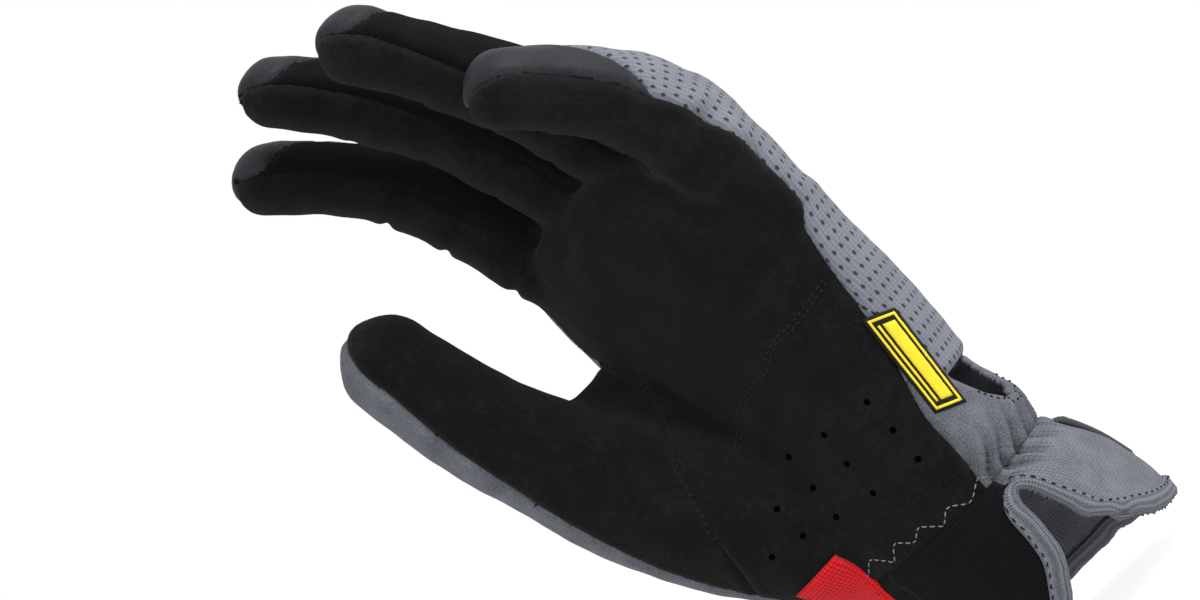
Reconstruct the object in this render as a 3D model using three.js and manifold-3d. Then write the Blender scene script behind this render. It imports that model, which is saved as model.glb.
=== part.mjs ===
// Left-hand work glove, palm side towards -Y, fingers up, thumb towards -X.
// Millimetres. The origin is the middle of the cuff mouth, where a hand goes in.
import * as THREE from "three";
import { mergeVertices } from "three/addons/utils/BufferGeometryUtils.js";
import Module from "manifold-3d";

// Driving dimensions
const CUFF_LENGTH = 42; // hem to the gathered wrist
const PALM_LENGTH = 115; // wrist to the finger crotches
const PALM_WIDTH = 92;
const PALM_DEPTH = 34;
const WALL = 1.6; // one layer of suede or knit
const SEAM_GAP = 0.3; // between panels that are sewn edge to edge
const BINDING_WIDTH = 4.6;
const BINDING_BULGE = 0.9; // how far the folded tape stands proud of the wall
const NOTCH_HEIGHT = 37; // the side vent of the cuff, hem to apex
const NOTCH_ANGLE = -24; // where the vent's apex is, from the little-finger side
const FLAP_RISE = 5.5; // the back flap ends this far above the palm hem
const SEAM_RISE = 5; // palm lower edge above the wrist line, thumb side
const KEYHOLE_TOP = 24; // upper edge of the wrist opening above the wrist line
const KEYHOLE_DEPTH = 15;
const KEYHOLE_WIDTH = 38;
const KEYHOLE_ANGLE = 20;
const WRIST_SIDE_RISE = 7; // the wrist panel is this much higher beside the little-finger seam
const WRIST_END = 150; // degrees round where the wrist panel meets the thumb's side panel
const SIDE_PANEL_DROP = 8; // the thumb's side panel ends this far below the thumb crotch
const LABEL_LENGTH = 27.5;
const LABEL_WIDTH = 7.1;
const LABEL_RISE = 32.7; // label centre above the wrist line
const LABEL_ANGLE = -21.5;
const LABEL_SLOPE = 28; // degrees that its ends fall towards the back
const LABEL_LEAN = 10; // degrees that its top leans towards the back
const TAB_WIDTH = 13;
const TAB_RISE = 15; // top edge of the pull tab above the wrist line
const TAB_ANGLE = 257.5;
const BADGE_WIDTH = 56;
const BADGE_LENGTH = 20;
const BADGE_DROP = 14; // centre of the bare patch below the wrist line
const TRIM_THICK = 1.2; // label, tab and patch
const TIP_PATCH_LENGTH = 27; // smooth patch on the back of a fingertip

// Mesh fineness
const BODY_SIDES = 20;
const FINGER_SIDES = 10;
const THUMB_SIDES = 11;
const SECTOR_STEPS = 4;
const LINE_STEP = 18; // degrees between the points of a line round the cuff

const wasm = await Module();
wasm.setup();

// Sections of the cuff and palm. up: -1 hem, 0 wrist, 1 finger crotches. across and halfWidth are
// shares of PALM_WIDTH, the rest shares of PALM_DEPTH. gather is the depth of the folds at the
// back, as a share of the section.
const BODY_ROWS = [
  { up: -1.0, across: -0.054, back: -0.03, halfWidth: 0.44, palmSide: 0.79, backSide: 1.2, gather: 0 },
  { up: -0.405, across: -0.06, back: -0.06, halfWidth: 0.426, palmSide: 0.765, backSide: 1.11, gather: 0.01 },
  { up: -0.143, across: -0.07, back: -0.088, halfWidth: 0.412, palmSide: 0.765, backSide: 1.01, gather: 0.03 },
  { up: 0.0, across: -0.076, back: -0.1, halfWidth: 0.386, palmSide: 0.765, backSide: 0.86, gather: 0.03 },
  { up: 0.061, across: -0.085, back: -0.097, halfWidth: 0.42, palmSide: 0.765, backSide: 0.93, gather: 0.02 },
  { up: 0.157, across: -0.105, back: -0.088, halfWidth: 0.458, palmSide: 0.76, backSide: 0.794, gather: 0 },
  { up: 0.33, across: -0.06, back: -0.06, halfWidth: 0.464, palmSide: 0.59, backSide: 0.69, gather: 0 },
  { up: 0.504, across: -0.03, back: -0.03, halfWidth: 0.464, palmSide: 0.53, backSide: 0.57, gather: 0 },
  { up: 0.81, across: -0.032, back: 0.0, halfWidth: 0.502, palmSide: 0.5, backSide: 0.51, gather: 0 },
  { up: 0.94, across: -0.018, back: 0.0, halfWidth: 0.5, palmSide: 0.456, backSide: 0.485, gather: 0 },
  { up: 1.01, across: -0.01, back: 0.0, halfWidth: 0.484, palmSide: 0.37, backSide: 0.4, gather: 0 },
  { up: 1.045, across: -0.01, back: 0.0, halfWidth: 0.44, palmSide: 0.2, backSide: 0.235, gather: 0 },
];

// Fingers. across, back and up place the knuckle as the body rows do. length runs knuckle to tip,
// first and second are the shares of it that the two long bones take, bends are degrees from
// straight up towards the palm, splay is degrees towards the little-finger side. root, middle and
// tip are half thicknesses. thumbSide and littleSide are the seams of the palm panel at the root,
// the middle and the tip: degrees round the section, -90 being the palm side.
const FINGERS = [
  {
    name: "index", across: -0.36, back: 0.03, up: 0.776, length: 108, first: 0.47, second: 0.28,
    bends: [7, 33, 52], splay: -7, root: 11.2, middle: 9.5, tip: 8.6,
    thumbSide: [207, 212, 208], littleSide: [-43, -43, -20],
  },
  {
    name: "middle", across: -0.105, back: 0.2, up: 0.75, length: 121, first: 0.463, second: 0.291,
    bends: [12, 29, 44], splay: -4.4, root: 11.6, middle: 10, tip: 8.8,
    thumbSide: [225, 225, 200], littleSide: [-45, -45, -20],
  },
  {
    name: "ring", across: 0.139, back: 0.14, up: 0.73, length: 113.5, first: 0.452, second: 0.288,
    bends: [13, 29, 38], splay: -0.4, root: 11.8, middle: 10.3, tip: 9.2,
    thumbSide: [225, 225, 200], littleSide: [-52, -55, -22],
  },
  {
    name: "pinky", across: 0.357, back: -0.05, up: 0.71, length: 87, first: 0.452, second: 0.274,
    bends: [12, 44, 56], splay: 3.6, root: 12, middle: 11, tip: 9.1,
    thumbSide: [225, 225, 200], littleSide: [2, -31, -5],
  },
];
const ROOT_TAPER = 0.72; // a finger tube narrows to this share where it starts inside the palm
const FINGER_STATIONS = [0, 0.2, 0.36, 0.42, 0.49, 0.58, 0.66, 0.74, 0.84, 0.93, 0.98, 1];
// Creases across the palm side of each finger: share of its length, and depth as a share of tip
const CREASES = [
  { at: 0.42, depth: 0.1 },
  { at: 0.58, depth: 0.08 },
  { at: 0.74, depth: 0.07 },
];
// Side strips between the fingers: where they run along a finger, and the seam to its back
const STRIP = { start: 0.2, straight: 0.75, end: 0.93, littleBack: 52, thumbBack: 128 };
const CROTCH_FLOOR = -3; // the strips meet between the fingers from this far below the crotches
const CROTCH_TOP = 12;

// Thumb, from the heel of the hand to the tip: lengths of its three bones, degrees from straight
// up, and degrees round from the thumb side towards the palm. pad is the way its pad faces. The
// seams are degrees round the thumb, 90 being its pad, 0 the side that the palm shows.
const THUMB = {
  across: -0.174, back: -0.353, up: 0.07, bones: [48.5, 48.2, 43.5], tilts: [34.4, 21, 8.6],
  turns: [41.6, 46, 47], pad: [0.974, 0.225, 0],
};
const THUMB_GIRTH = 13.6; // half thickness at the middle of the thumb
const THUMB_ROWS = [
  { at: 0.0, size: 1.2, palmSeam: -66, webSeam: 165 },
  { at: 0.12, size: 1.4, palmSeam: -52, webSeam: 160 },
  { at: 0.24, size: 1.44, palmSeam: -36, webSeam: 155 },
  { at: 0.36, size: 1.36, palmSeam: -29, webSeam: 155 },
  { at: 0.48, size: 1.22, palmSeam: -23, webSeam: 165 },
  { at: 0.6, size: 1.1, palmSeam: -14, webSeam: 178 },
  { at: 0.7, size: 1.04, palmSeam: -4, webSeam: 178 },
  { at: 0.8, size: 0.99, palmSeam: 2, webSeam: 176 },
  { at: 0.9, size: 0.92, palmSeam: 7, webSeam: 174 },
  { at: 1.0, size: 0.9, palmSeam: 7, webSeam: 172 },
];
const THUMB_STATIONS = [0, 0.14, 0.3, 0.45, 0.6, 0.75, 0.88, 0.94, 0.98, 1];

// The web between thumb and palm: across and reach are shares of PALM_WIDTH, back and thick of
// PALM_DEPTH. It runs from the palm's edge towards WEB_TURN, degrees from the little-finger side.
const WEB_TURN = 248;
const WEB_FRONT = 20; // the palm takes this much past the middle of the web's thickness, degrees
const WEB_ROWS = [
  { up: 0.09, across: -0.217, back: -0.35, reach: 0.15, thick: 0.38 },
  { up: 0.24, across: -0.283, back: -0.44, reach: 0.174, thick: 0.44 },
  { up: 0.42, across: -0.342, back: -0.47, reach: 0.196, thick: 0.4 },
  { up: 0.55, across: -0.391, back: -0.53, reach: 0.207, thick: 0.34 },
  { up: 0.65, across: -0.435, back: -0.59, reach: 0.2, thick: 0.265 },
  { up: 0.71, across: -0.451, back: -0.63, reach: 0.163, thick: 0.176 },
  { up: 0.74, across: -0.457, back: -0.64, reach: 0.11, thick: 0.09 },
];

// Seams of the palm with the back panels, on the little-finger side and the thumb side: degrees
// round the section at each height. reach is how far out the palm panel takes in thumb and fingers.
const SIDE_SEAMS = [
  { up: -0.02, little: -29.5, thumb: 212, reach: 1.12 },
  { up: 0.33, little: -31, thumb: 211, reach: 1.12 },
  { up: 0.5, little: -28, thumb: 210, reach: 1.12 },
  { up: 0.68, little: -19.5, thumb: 208, reach: 1.14 },
  { up: 0.94, little: -14.5, thumb: 207, reach: 1.3 },
  { up: 1.04, little: -14, thumb: 207, reach: 1.3 },
];

// Hem beside the vent. rise is a share of NOTCH_HEIGHT, angle is degrees from the vent's apex.
const VENT_ROWS = [
  { angle: -46, rise: 0.05 },
  { angle: -37, rise: 0.13 },
  { angle: -28, rise: 0.27 },
  { angle: -21, rise: 0.4 },
  { angle: -15, rise: 0.53 },
  { angle: -11, rise: 0.7 },
  { angle: -7.5, rise: 0.88 },
  { angle: -3.5, rise: 0.98 },
  { angle: 0, rise: 1 },
  { angle: 3, rise: 0.92 },
  { angle: 5.5, rise: 0.72 },
  { angle: 9, rise: 0.54 },
  { angle: 17, rise: 0.43 },
  { angle: 27, rise: 0.32 },
  { angle: 38, rise: 0.21 },
];

// Lower edge of the opening over the wrist: shares of its width and of its depth
const KEYHOLE_ROWS = [
  { along: -0.5, drop: 0.03 },
  { along: -0.36, drop: 0.36 },
  { along: -0.2, drop: 0.74 },
  { along: -0.04, drop: 0.96 },
  { along: 0.1, drop: 1.0 },
  { along: 0.26, drop: 0.85 },
  { along: 0.4, drop: 0.5 },
  { along: 0.5, drop: 0.03 },
];

// Seam that joins the thumb to the palm, looked at from VIEW_TURN degrees round from the palm:
// sideways shares of PALM_WIDTH, and heights as the body rows. The last rows pass round the thumb.
const VIEW_TURN = 47;
const THUMB_SEAM = [
  { side: -0.43, up: 0.75 },
  { side: -0.37, up: 0.7 },
  { side: -0.355, up: 0.62 },
  { side: -0.43, up: 0.5 },
  { side: -0.47, up: 0.42 },
  { side: -0.52, up: 0.31 },
  { side: -0.6, up: 0.2 },
  { side: -1.2, up: 0.1 },
  { side: -1.2, up: 1.3 },
  { side: -0.54, up: 1.2 },
  { side: -0.478, up: 0.94 },
];

const FINISHES = {
  suede: { color: 0x1b1b1c, roughness: 0.95 },
  twill: { color: 0x202022, roughness: 0.9 },
  knit: { color: 0x73767e, roughness: 0.9 },
  leather: { color: 0x34353a, roughness: 0.55 },
  red: { color: 0xc4141f, roughness: 0.7 },
  tag: { color: 0x141414, roughness: 0.6 },
};

const degrees = THREE.MathUtils.degToRad;
const UP = new THREE.Vector3(0, 0, 1);
const heightAt = (up) => CUFF_LENGTH + up * (up < 0 ? CUFF_LENGTH : PALM_LENGTH);
const upAt = (height) => (height - CUFF_LENGTH) / (height < CUFF_LENGTH ? CUFF_LENGTH : PALM_LENGTH);

// Straight-line value of one column of a table at a place along another column
function tableValue(rows, key, at, column) {
  const next = rows.findIndex((row) => row[key] >= at);
  if (next === 0) return rows[0][column];
  if (next < 0) return rows[rows.length - 1][column];
  const [a, b] = [rows[next - 1], rows[next]];
  return a[column] + ((b[column] - a[column]) * (at - a[key])) / (b[key] - a[key]);
}
const columnAt = (rows, key, column) => (at) => tableValue(rows, key, at, column);

// A closed geometry as a solid that can be joined and cut
function solidOf(geometry) {
  const bare = geometry.clone();
  for (const name of Object.keys(bare.attributes)) {
    if (name !== "position") bare.deleteAttribute(name);
  }
  const merged = mergeVertices(bare, 1e-4);
  const vertProperties = merged.attributes.position.array;
  const triVerts = new Uint32Array(merged.index.array);
  return new wasm.Manifold(new wasm.Mesh({ numProp: 3, vertProperties, triVerts }));
}

// A solid through rings of points, each turning anticlockwise as seen from the next one. Its ends
// are flat, or where it is a loop the last ring joins the first.
function loft(rings, loop = false) {
  const count = rings[0].length;
  const index = [];
  const spans = loop ? rings.length : rings.length - 1;
  for (let row = 0; row < spans; row++) {
    const [here, after] = [row * count, ((row + 1) % rings.length) * count];
    for (let side = 0; side < count; side++) {
      const next = (side + 1) % count;
      index.push(here + side, here + next, after + next, here + side, after + next, after + side);
    }
  }
  const last = (rings.length - 1) * count;
  for (let side = 1; side + 1 < count && !loop; side++) {
    index.push(0, side + 1, side, last, last + side, last + side + 1);
  }
  const geometry = new THREE.BufferGeometry().setFromPoints(rings.flat());
  return solidOf(geometry.setIndex(index));
}

// A frame is one section: its centre, its two directions and its half sizes
const depthAt = (frame, angle) => (Math.sin(degrees(angle)) < 0 ? frame.palmSide : frame.backSide);

function onFrame(frame, angle, scale = 1) {
  const [right, out] = [Math.cos(degrees(angle)), Math.sin(degrees(angle))];
  const spot = frame.centre.clone().addScaledVector(frame.across, right * frame.halfWidth * scale);
  return spot.addScaledVector(frame.back, out * depthAt(frame, angle) * scale);
}

// Every other point of a ring steps in and out by the section's gather, on the back only
function ringOf(frame, sides) {
  return Array.from({ length: sides }, (_, side) => {
    const angle = (side * 360) / sides;
    const fold = Math.max(Math.sin(degrees(angle)), 0) * frame.gather * (side % 2 ? 1 : -1);
    return onFrame(frame, angle, 1 + fold);
  });
}

const tubeSolid = (frames, sides) => loft(frames.map((frame) => ringOf(frame, sides)));

// How many degrees a distance takes along the rim of a section
function degreesFor(frame, angle, distance) {
  const turn = degrees(angle);
  const speed = Math.hypot(frame.halfWidth * Math.sin(turn), depthAt(frame, angle) * Math.cos(turn));
  return THREE.MathUtils.radToDeg(distance / speed);
}

// Sections of cuff and palm, grown by an offset
function bodyFrame(up, offset = 0) {
  const value = (column) => tableValue(BODY_ROWS, "up", up, column);
  return {
    at: up,
    centre: new THREE.Vector3(value("across") * PALM_WIDTH, value("back") * PALM_DEPTH, heightAt(up)),
    across: new THREE.Vector3(1, 0, 0),
    back: new THREE.Vector3(0, 1, 0),
    halfWidth: value("halfWidth") * PALM_WIDTH + offset,
    palmSide: value("palmSide") * PALM_DEPTH + offset,
    backSide: value("backSide") * PALM_DEPTH + offset,
    gather: value("gather"),
  };
}

function bodySolid(offset) {
  const frames = BODY_ROWS.map((row) => bodyFrame(row.up, offset));
  frames[frames.length - 1].centre.z += offset;
  const below = bodyFrame(-1, offset);
  below.centre.z = -CUFF_LENGTH / 4;
  return tubeSolid([below, ...frames], BODY_SIDES);
}

// Frames along a bent tube. sizeAt gives the half thickness at a share of its length, creaseAt
// how much of it the palm side loses there. The far end shrinks to a dome.
function tubeFrames(joints, sizeAt, creaseAt, acrossHint, stations, offset) {
  const curve = new THREE.CatmullRomCurve3(joints, false, "centripetal");
  const length = curve.getLength();
  return stations.map((at) => {
    const tangent = curve.getTangentAt(at);
    const centre = curve.getPointAt(at).addScaledVector(tangent, at * offset);
    const across = acrossHint.clone().addScaledVector(tangent, -acrossHint.dot(tangent)).normalize();
    const back = tangent.clone().cross(across);
    const intoDome = THREE.MathUtils.clamp(1 - ((1 - at) * length) / sizeAt(1), 0, 0.97);
    const size = (sizeAt(at) + offset) * Math.sqrt(1 - intoDome * intoDome);
    const palmSide = size - creaseAt(at);
    return { at, centre, across, back, halfWidth: size, palmSide, backSide: size, gather: 0 };
  });
}

function fingerFrames(finger, offset = 0, stations = FINGER_STATIONS) {
  const knuckle = [finger.across * PALM_WIDTH, finger.back * PALM_DEPTH, heightAt(finger.up)];
  const spots = [new THREE.Vector3(...knuckle)];
  const shares = [finger.first, finger.second, 1 - finger.first - finger.second];
  shares.forEach((share, bone) => {
    const [bend, splay] = [degrees(finger.bends[bone]), degrees(finger.splay)];
    const way = new THREE.Vector3(Math.sin(splay) * Math.cos(bend), -Math.sin(bend), Math.cos(bend));
    spots.push(spots[bone].clone().addScaledVector(way.normalize(), share * finger.length));
  });
  const sizes = [
    { at: 0, size: finger.root * ROOT_TAPER },
    { at: 0.3, size: finger.root },
    { at: 0.38, size: finger.root },
    { at: 0.6, size: finger.middle },
    { at: 0.88, size: finger.tip },
  ];
  const creaseAt = (at) => (CREASES.find((crease) => crease.at === at)?.depth ?? 0) * finger.tip;
  const acrossHint = new THREE.Vector3(1, 0, 0);
  return tubeFrames(spots, columnAt(sizes, "at", "size"), creaseAt, acrossHint, stations, offset);
}

function thumbFrames(offset = 0, stations = THUMB_STATIONS) {
  const base = [THUMB.across * PALM_WIDTH, THUMB.back * PALM_DEPTH, heightAt(THUMB.up)];
  const spots = [new THREE.Vector3(...base)];
  THUMB.bones.forEach((bone, number) => {
    const [tilt, turn] = [degrees(THUMB.tilts[number]), degrees(THUMB.turns[number])];
    const out = -Math.sin(tilt);
    const way = new THREE.Vector3(out * Math.cos(turn), out * Math.sin(turn), Math.cos(tilt));
    spots.push(spots[number].clone().addScaledVector(way, bone));
  });
  const sizeAt = (at) => tableValue(THUMB_ROWS, "at", at, "size") * THUMB_GIRTH;
  const acrossHint = new THREE.Vector3(...THUMB.pad).cross(UP);
  return tubeFrames(spots, sizeAt, () => 0, acrossHint, stations, offset);
}

function webFrames(offset) {
  const [x, y] = [Math.cos(degrees(WEB_TURN)), Math.sin(degrees(WEB_TURN))];
  const frames = WEB_ROWS.map((row) => ({
    at: row.up,
    centre: new THREE.Vector3(row.across * PALM_WIDTH, row.back * PALM_DEPTH, heightAt(row.up)),
    across: new THREE.Vector3(x, y, 0),
    back: new THREE.Vector3(-y, x, 0),
    halfWidth: row.reach * PALM_WIDTH + offset,
    palmSide: row.thick * PALM_DEPTH + offset,
    backSide: row.thick * PALM_DEPTH + offset,
    gather: 0,
  }));
  frames[frames.length - 1].centre.z += offset;
  return frames;
}

// The whole hand form, grown or shrunk by an offset
function handSolid(offset) {
  const thumb = tubeSolid(thumbFrames(offset), THUMB_SIDES);
  const fingers = FINGERS.map((finger) => tubeSolid(fingerFrames(finger, offset), FINGER_SIDES));
  const web = tubeSolid(webFrames(offset), THUMB_SIDES);
  return [web, thumb, ...fingers].reduce((hand, part) => hand.add(part), bodySolid(offset));
}

// A wedge of a tube between two seams, grown by a gap on all its sides
const REACH = 1.35; // how far regions pass the surface, as a share of the section
const CROTCH_SECTION = 0.94; // the last full section of the palm
function sector(frames, from, to, gap, reach = () => REACH) {
  const rings = frames.map((frame, number) => {
    const start = from(frame.at) - degreesFor(frame, from(frame.at), gap);
    const end = to(frame.at) + degreesFor(frame, to(frame.at), gap);
    const onward = (number === 0 ? -gap : 0) + (number === frames.length - 1 ? gap : 0);
    const centre = frame.centre.clone().addScaledVector(frame.across.clone().cross(frame.back), onward);
    const grown = reach(frame.at) + (2 * gap) / frame.palmSide;
    const rim = Array.from({ length: SECTOR_STEPS + 1 }, (_, step) =>
      onFrame({ ...frame, centre }, start + ((end - start) * step) / SECTOR_STEPS, grown),
    );
    return [centre, ...rim];
  });
  return loft(rings);
}

// A band round the cuff or palm between two lines of angle and height
function curtain(lower, upper, loop = false) {
  const spot = ([angle, height], reach) => {
    const up = THREE.MathUtils.clamp(upAt(height), -1, 1);
    return onFrame(bodyFrame(up), angle, reach).setZ(height);
  };
  const rings = lower.map((low, number) => {
    const high = upper[number];
    return [spot(low, 0.2), spot(high, 0.2), spot(high, 1.6), spot(low, 1.6)];
  });
  return loft(rings, loop);
}

const degreeLength = degrees(1) * PALM_WIDTH * 0.43; // one degree round the cuff, about

function lineRound(from, to, heightOf) {
  const count = Math.round((to - from) / LINE_STEP);
  return Array.from({ length: count + 1 }, (_, number) => {
    const angle = from + ((to - from) * number) / count;
    return [angle, heightOf(angle)];
  });
}
const shifted = (line, distance) => line.map(([angle, height]) => [angle, height + distance]);
const level = (line, height) => line.map(([angle]) => [angle, height]);

// The hem as points of angle and height, once round
function hemLine() {
  const vent = VENT_ROWS.map((row) => [NOTCH_ANGLE + row.angle, row.rise * NOTCH_HEIGHT]);
  const [ventStart, ventEnd] = [vent[0][0], vent[vent.length - 1][0]];
  const flap = lineRound(ventEnd + LINE_STEP, 176, () => FLAP_RISE);
  const palm = lineRound(200, ventStart + 360 - LINE_STEP, () => 0);
  return [...vent, ...flap, [188, FLAP_RISE / 2], ...palm];
}

// A closed line moved square to itself, away from the edge, by a distance
function lineOffset(line, distance) {
  const count = line.length;
  return line.map(([angle, height], number) => {
    const before = line[(number + count - 1) % count];
    const after = line[(number + 1) % count];
    const run = THREE.MathUtils.euclideanModulo(after[0] - before[0], 360) * degreeLength;
    const rise = after[1] - before[1];
    const size = Math.hypot(run, rise);
    return [angle - ((rise / size) * distance) / degreeLength, height + (run / size) * distance];
  });
}

// A straight prism over an outline of [right, up] points, from near to far along right x up
function prism(outline, origin, right, near, far) {
  const shape = new THREE.Shape(outline.map(([x, y]) => new THREE.Vector2(x, y)));
  const geometry = new THREE.ExtrudeGeometry(shape, { depth: far - near, bevelEnabled: false });
  geometry.translate(0, 0, near);
  const place = new THREE.Matrix4().makeBasis(right, UP, right.clone().cross(UP)).setPosition(origin);
  return solidOf(geometry.applyMatrix4(place));
}

// A plate of trim that follows the surface, over an outline set square to it at one place
function trimPlate(angle, height, outline) {
  const frame = bodyFrame(upAt(height));
  const turn = degrees(angle);
  const out = new THREE.Vector3(Math.cos(turn) / frame.halfWidth, Math.sin(turn) / depthAt(frame, angle), 0);
  const right = UP.clone().cross(out.normalize());
  return trimSkin.intersect(prism(outline, onFrame(frame, angle), right, -PALM_DEPTH / 2, PALM_DEPTH / 2));
}

const rectangle = (width, bottom, top) => [
  [-width / 2, bottom],
  [width / 2, bottom],
  [width / 2, top],
  [-width / 2, top],
];

// Cuts leave slivers where one seam grazes another: a panel is the one large body
function largestBody(solid) {
  return solid.decompose().reduce((best, body) => (body.volume() > best.volume() ? body : best));
}

// The shell of the hand, and the thin skin over it that trim is cut from
const shell = handSolid(0).subtract(handSolid(-WALL));
const trimSkin = handSolid(SEAM_GAP + TRIM_THICK).subtract(handSolid(SEAM_GAP));

// The hem, and the tape folded over it
const hem = hemLine();
const bindingClear = lineOffset(hem, BINDING_WIDTH + SEAM_GAP);
const belowBinding = curtain(level(bindingClear, -CUFF_LENGTH), bindingClear, true);
const tape = bodySolid(BINDING_BULGE).subtract(bodySolid(-WALL - BINDING_BULGE));
const binding = tape.intersect(curtain(hem, lineOffset(hem, BINDING_WIDTH), true));

// Where the cuff panels end: the palm's lower edge in front, the gathered wrist behind
const palmStart = SIDE_SEAMS[0].thumb;
const palmEnd = SIDE_SEAMS[0].little + 360;
const sidePanelTop = heightAt(WEB_ROWS[WEB_ROWS.length - 1].up) - SIDE_PANEL_DROP;
const wristLine = lineRound(NOTCH_ANGLE, NOTCH_ANGLE + 360, (angle) => {
  const share = (angle - palmStart) / (palmEnd - palmStart);
  return CUFF_LENGTH - SEAM_GAP + (share < 0 ? 0 : SEAM_RISE * (1 - share));
}).slice(0, -1);
const belowWrist = (gap) => curtain(level(wristLine, -CUFF_LENGTH), shifted(wristLine, gap), true);

// The opening over the wrist
const keyholeTop = KEYHOLE_TOP + CUFF_LENGTH;
const keyholeSpan = KEYHOLE_WIDTH / degreeLength;
const keyholeLine = KEYHOLE_ROWS.map((row) => [
  KEYHOLE_ANGLE + row.along * keyholeSpan,
  keyholeTop - row.drop * KEYHOLE_DEPTH,
]);
const keyhole = curtain(keyholeLine, level(keyholeLine, keyholeTop + SEAM_GAP));

// Regions that the panels are cut to, each grown by a gap
function palmRegion(gap) {
  const frames = SIDE_SEAMS.map((row) => {
    const frame = bodyFrame(Math.min(row.up, CROTCH_SECTION));
    frame.centre.z = heightAt(row.up);
    return { ...frame, at: row.up };
  });
  frames[0].centre.z = CUFF_LENGTH / 2;
  const little = columnAt(SIDE_SEAMS, "up", "little");
  const thumb = columnAt(SIDE_SEAMS, "up", "thumb");
  return sector(frames, thumb, (up) => little(up) + 360, gap, columnAt(SIDE_SEAMS, "up", "reach"));
}

function cuffFrontRegion(gap) {
  const frames = [bodyFrame(-1), bodyFrame(-0.5), bodyFrame(0.3)];
  frames[0].centre.z = -CUFF_LENGTH / 2;
  return sector(frames, () => palmStart, () => NOTCH_ANGLE + 360, gap);
}

// Frames of a tube's region: no thinner than a width, and carried on past the tip
function regionFrames(frames, width) {
  const wide = frames.map((frame) => {
    const size = Math.max(frame.halfWidth, width);
    return { ...frame, halfWidth: size, palmSide: size, backSide: size };
  });
  const end = wide[wide.length - 1];
  const onward = end.across.clone().cross(end.back).multiplyScalar(width / 2);
  return [...wide, { ...end, centre: end.centre.clone().add(onward) }];
}

const FINGER_REGION = [0, 0.25, 0.5, 0.72, 0.88, 1];
const THUMB_REGION = [0, 0.12, 0.28, 0.45, 0.65, 0.85, 1];
const thumbRegion = () => regionFrames(thumbFrames(0, THUMB_REGION), THUMB_GIRTH * 0.9);

function seamAngle(finger, side) {
  const places = [0, 0.5, STRIP.end].map((at, number) => ({ at, angle: finger[side][number] }));
  return columnAt(places, "at", "angle");
}

function fingerFront(finger, gap) {
  const little = seamAngle(finger, "littleSide");
  const frames = regionFrames(fingerFrames(finger, 0, FINGER_REGION), finger.tip);
  return sector(frames, seamAngle(finger, "thumbSide"), (at) => little(at) + 360, gap);
}

function thumbFront(gap) {
  const palmSeam = columnAt(THUMB_ROWS, "at", "palmSeam");
  return sector(thumbRegion(), palmSeam, columnAt(THUMB_ROWS, "at", "webSeam"), gap);
}

// The palm's share of the web: its palm side, and all of its rim over the side panel
function webFront(gap) {
  const frames = webFrames(SEAM_GAP);
  frames[frames.length - 1].centre.z += WALL;
  const face = sector(frames, () => -WEB_FRONT, () => 180 + WEB_FRONT, gap);
  const rimRow = frames.findIndex((frame) => frame.centre.z > sidePanelTop);
  const rim = frames.slice(rimRow - 1).map((frame) => ({
    ...frame,
    halfWidth: frame.halfWidth * REACH + gap,
    palmSide: frame.palmSide * REACH + gap,
    backSide: frame.backSide * REACH + gap,
  }));
  rim[0].centre.z = sidePanelTop - gap;
  rim[rim.length - 1].centre.z += gap;
  return face.add(tubeSolid(rim, THUMB_SIDES));
}

// The side strip of a finger, between its palm seam and its back seam, running out near the tip
function sideStrip(finger, side, gap) {
  const seam = seamAngle(finger, side);
  const backSeam = side === "littleSide" ? STRIP.littleBack : STRIP.thumbBack;
  const rows = [
    { at: STRIP.straight, angle: backSeam },
    { at: STRIP.end, angle: seam(STRIP.end) },
  ];
  const back = columnAt(rows, "at", "angle");
  const stations = [STRIP.start, 0.5, STRIP.straight, 0.84, STRIP.end];
  const frames = fingerFrames(finger, 0, stations);
  if (side === "littleSide") return sector(frames, seam, back, gap);
  return sector(frames, back, seam, gap);
}

// The floor between two fingers, from the top of the palm to the roots of the side strips
function crotchRegion(before, after, gap) {
  const gaps = [before, after].map((finger) => fingerFrames(finger, 0, [STRIP.start])[0]);
  const [low, high] = [gaps[0].centre.x + gaps[0].halfWidth / 2, gaps[1].centre.x - gaps[1].halfWidth / 2];
  const block = rectangle(high - low + 2 * gap, CROTCH_FLOOR - gap, CROTCH_TOP + gap);
  const origin = new THREE.Vector3((low + high) / 2, 0, heightAt(1));
  return prism(block, origin, new THREE.Vector3(1, 0, 0), -PALM_DEPTH, PALM_DEPTH);
}

function tipRegion(finger, gap) {
  const start = 1 - (TIP_PATCH_LENGTH + gap) / finger.length;
  const frames = fingerFrames(finger, 0, [start, (1 + start) / 2, 1]);
  const wide = regionFrames(frames, finger.tip * REACH);
  return tubeSolid(wide, FINGER_SIDES);
}

function thumbSideBlock(gap) {
  const sideways = new THREE.Vector3(Math.cos(degrees(VIEW_TURN)), Math.sin(degrees(VIEW_TURN)), 0);
  const outline = THUMB_SEAM.map((row) => [row.side * PALM_WIDTH + gap, heightAt(row.up) - gap]);
  return prism(outline, new THREE.Vector3(), sideways, -PALM_WIDTH * 1.5, PALM_WIDTH * 1.5);
}

function wristRegion(gap) {
  const top = lineRound(SIDE_SEAMS[0].little - LINE_STEP, WRIST_END + gap, (angle) => {
    const before = (KEYHOLE_ANGLE - keyholeSpan / 2 - angle) / (LINE_STEP * 2);
    return keyholeTop + gap + WRIST_SIDE_RISE * THREE.MathUtils.clamp(before, 0, 1);
  });
  return curtain(level(top, CUFF_LENGTH / 2), top);
}

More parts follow.
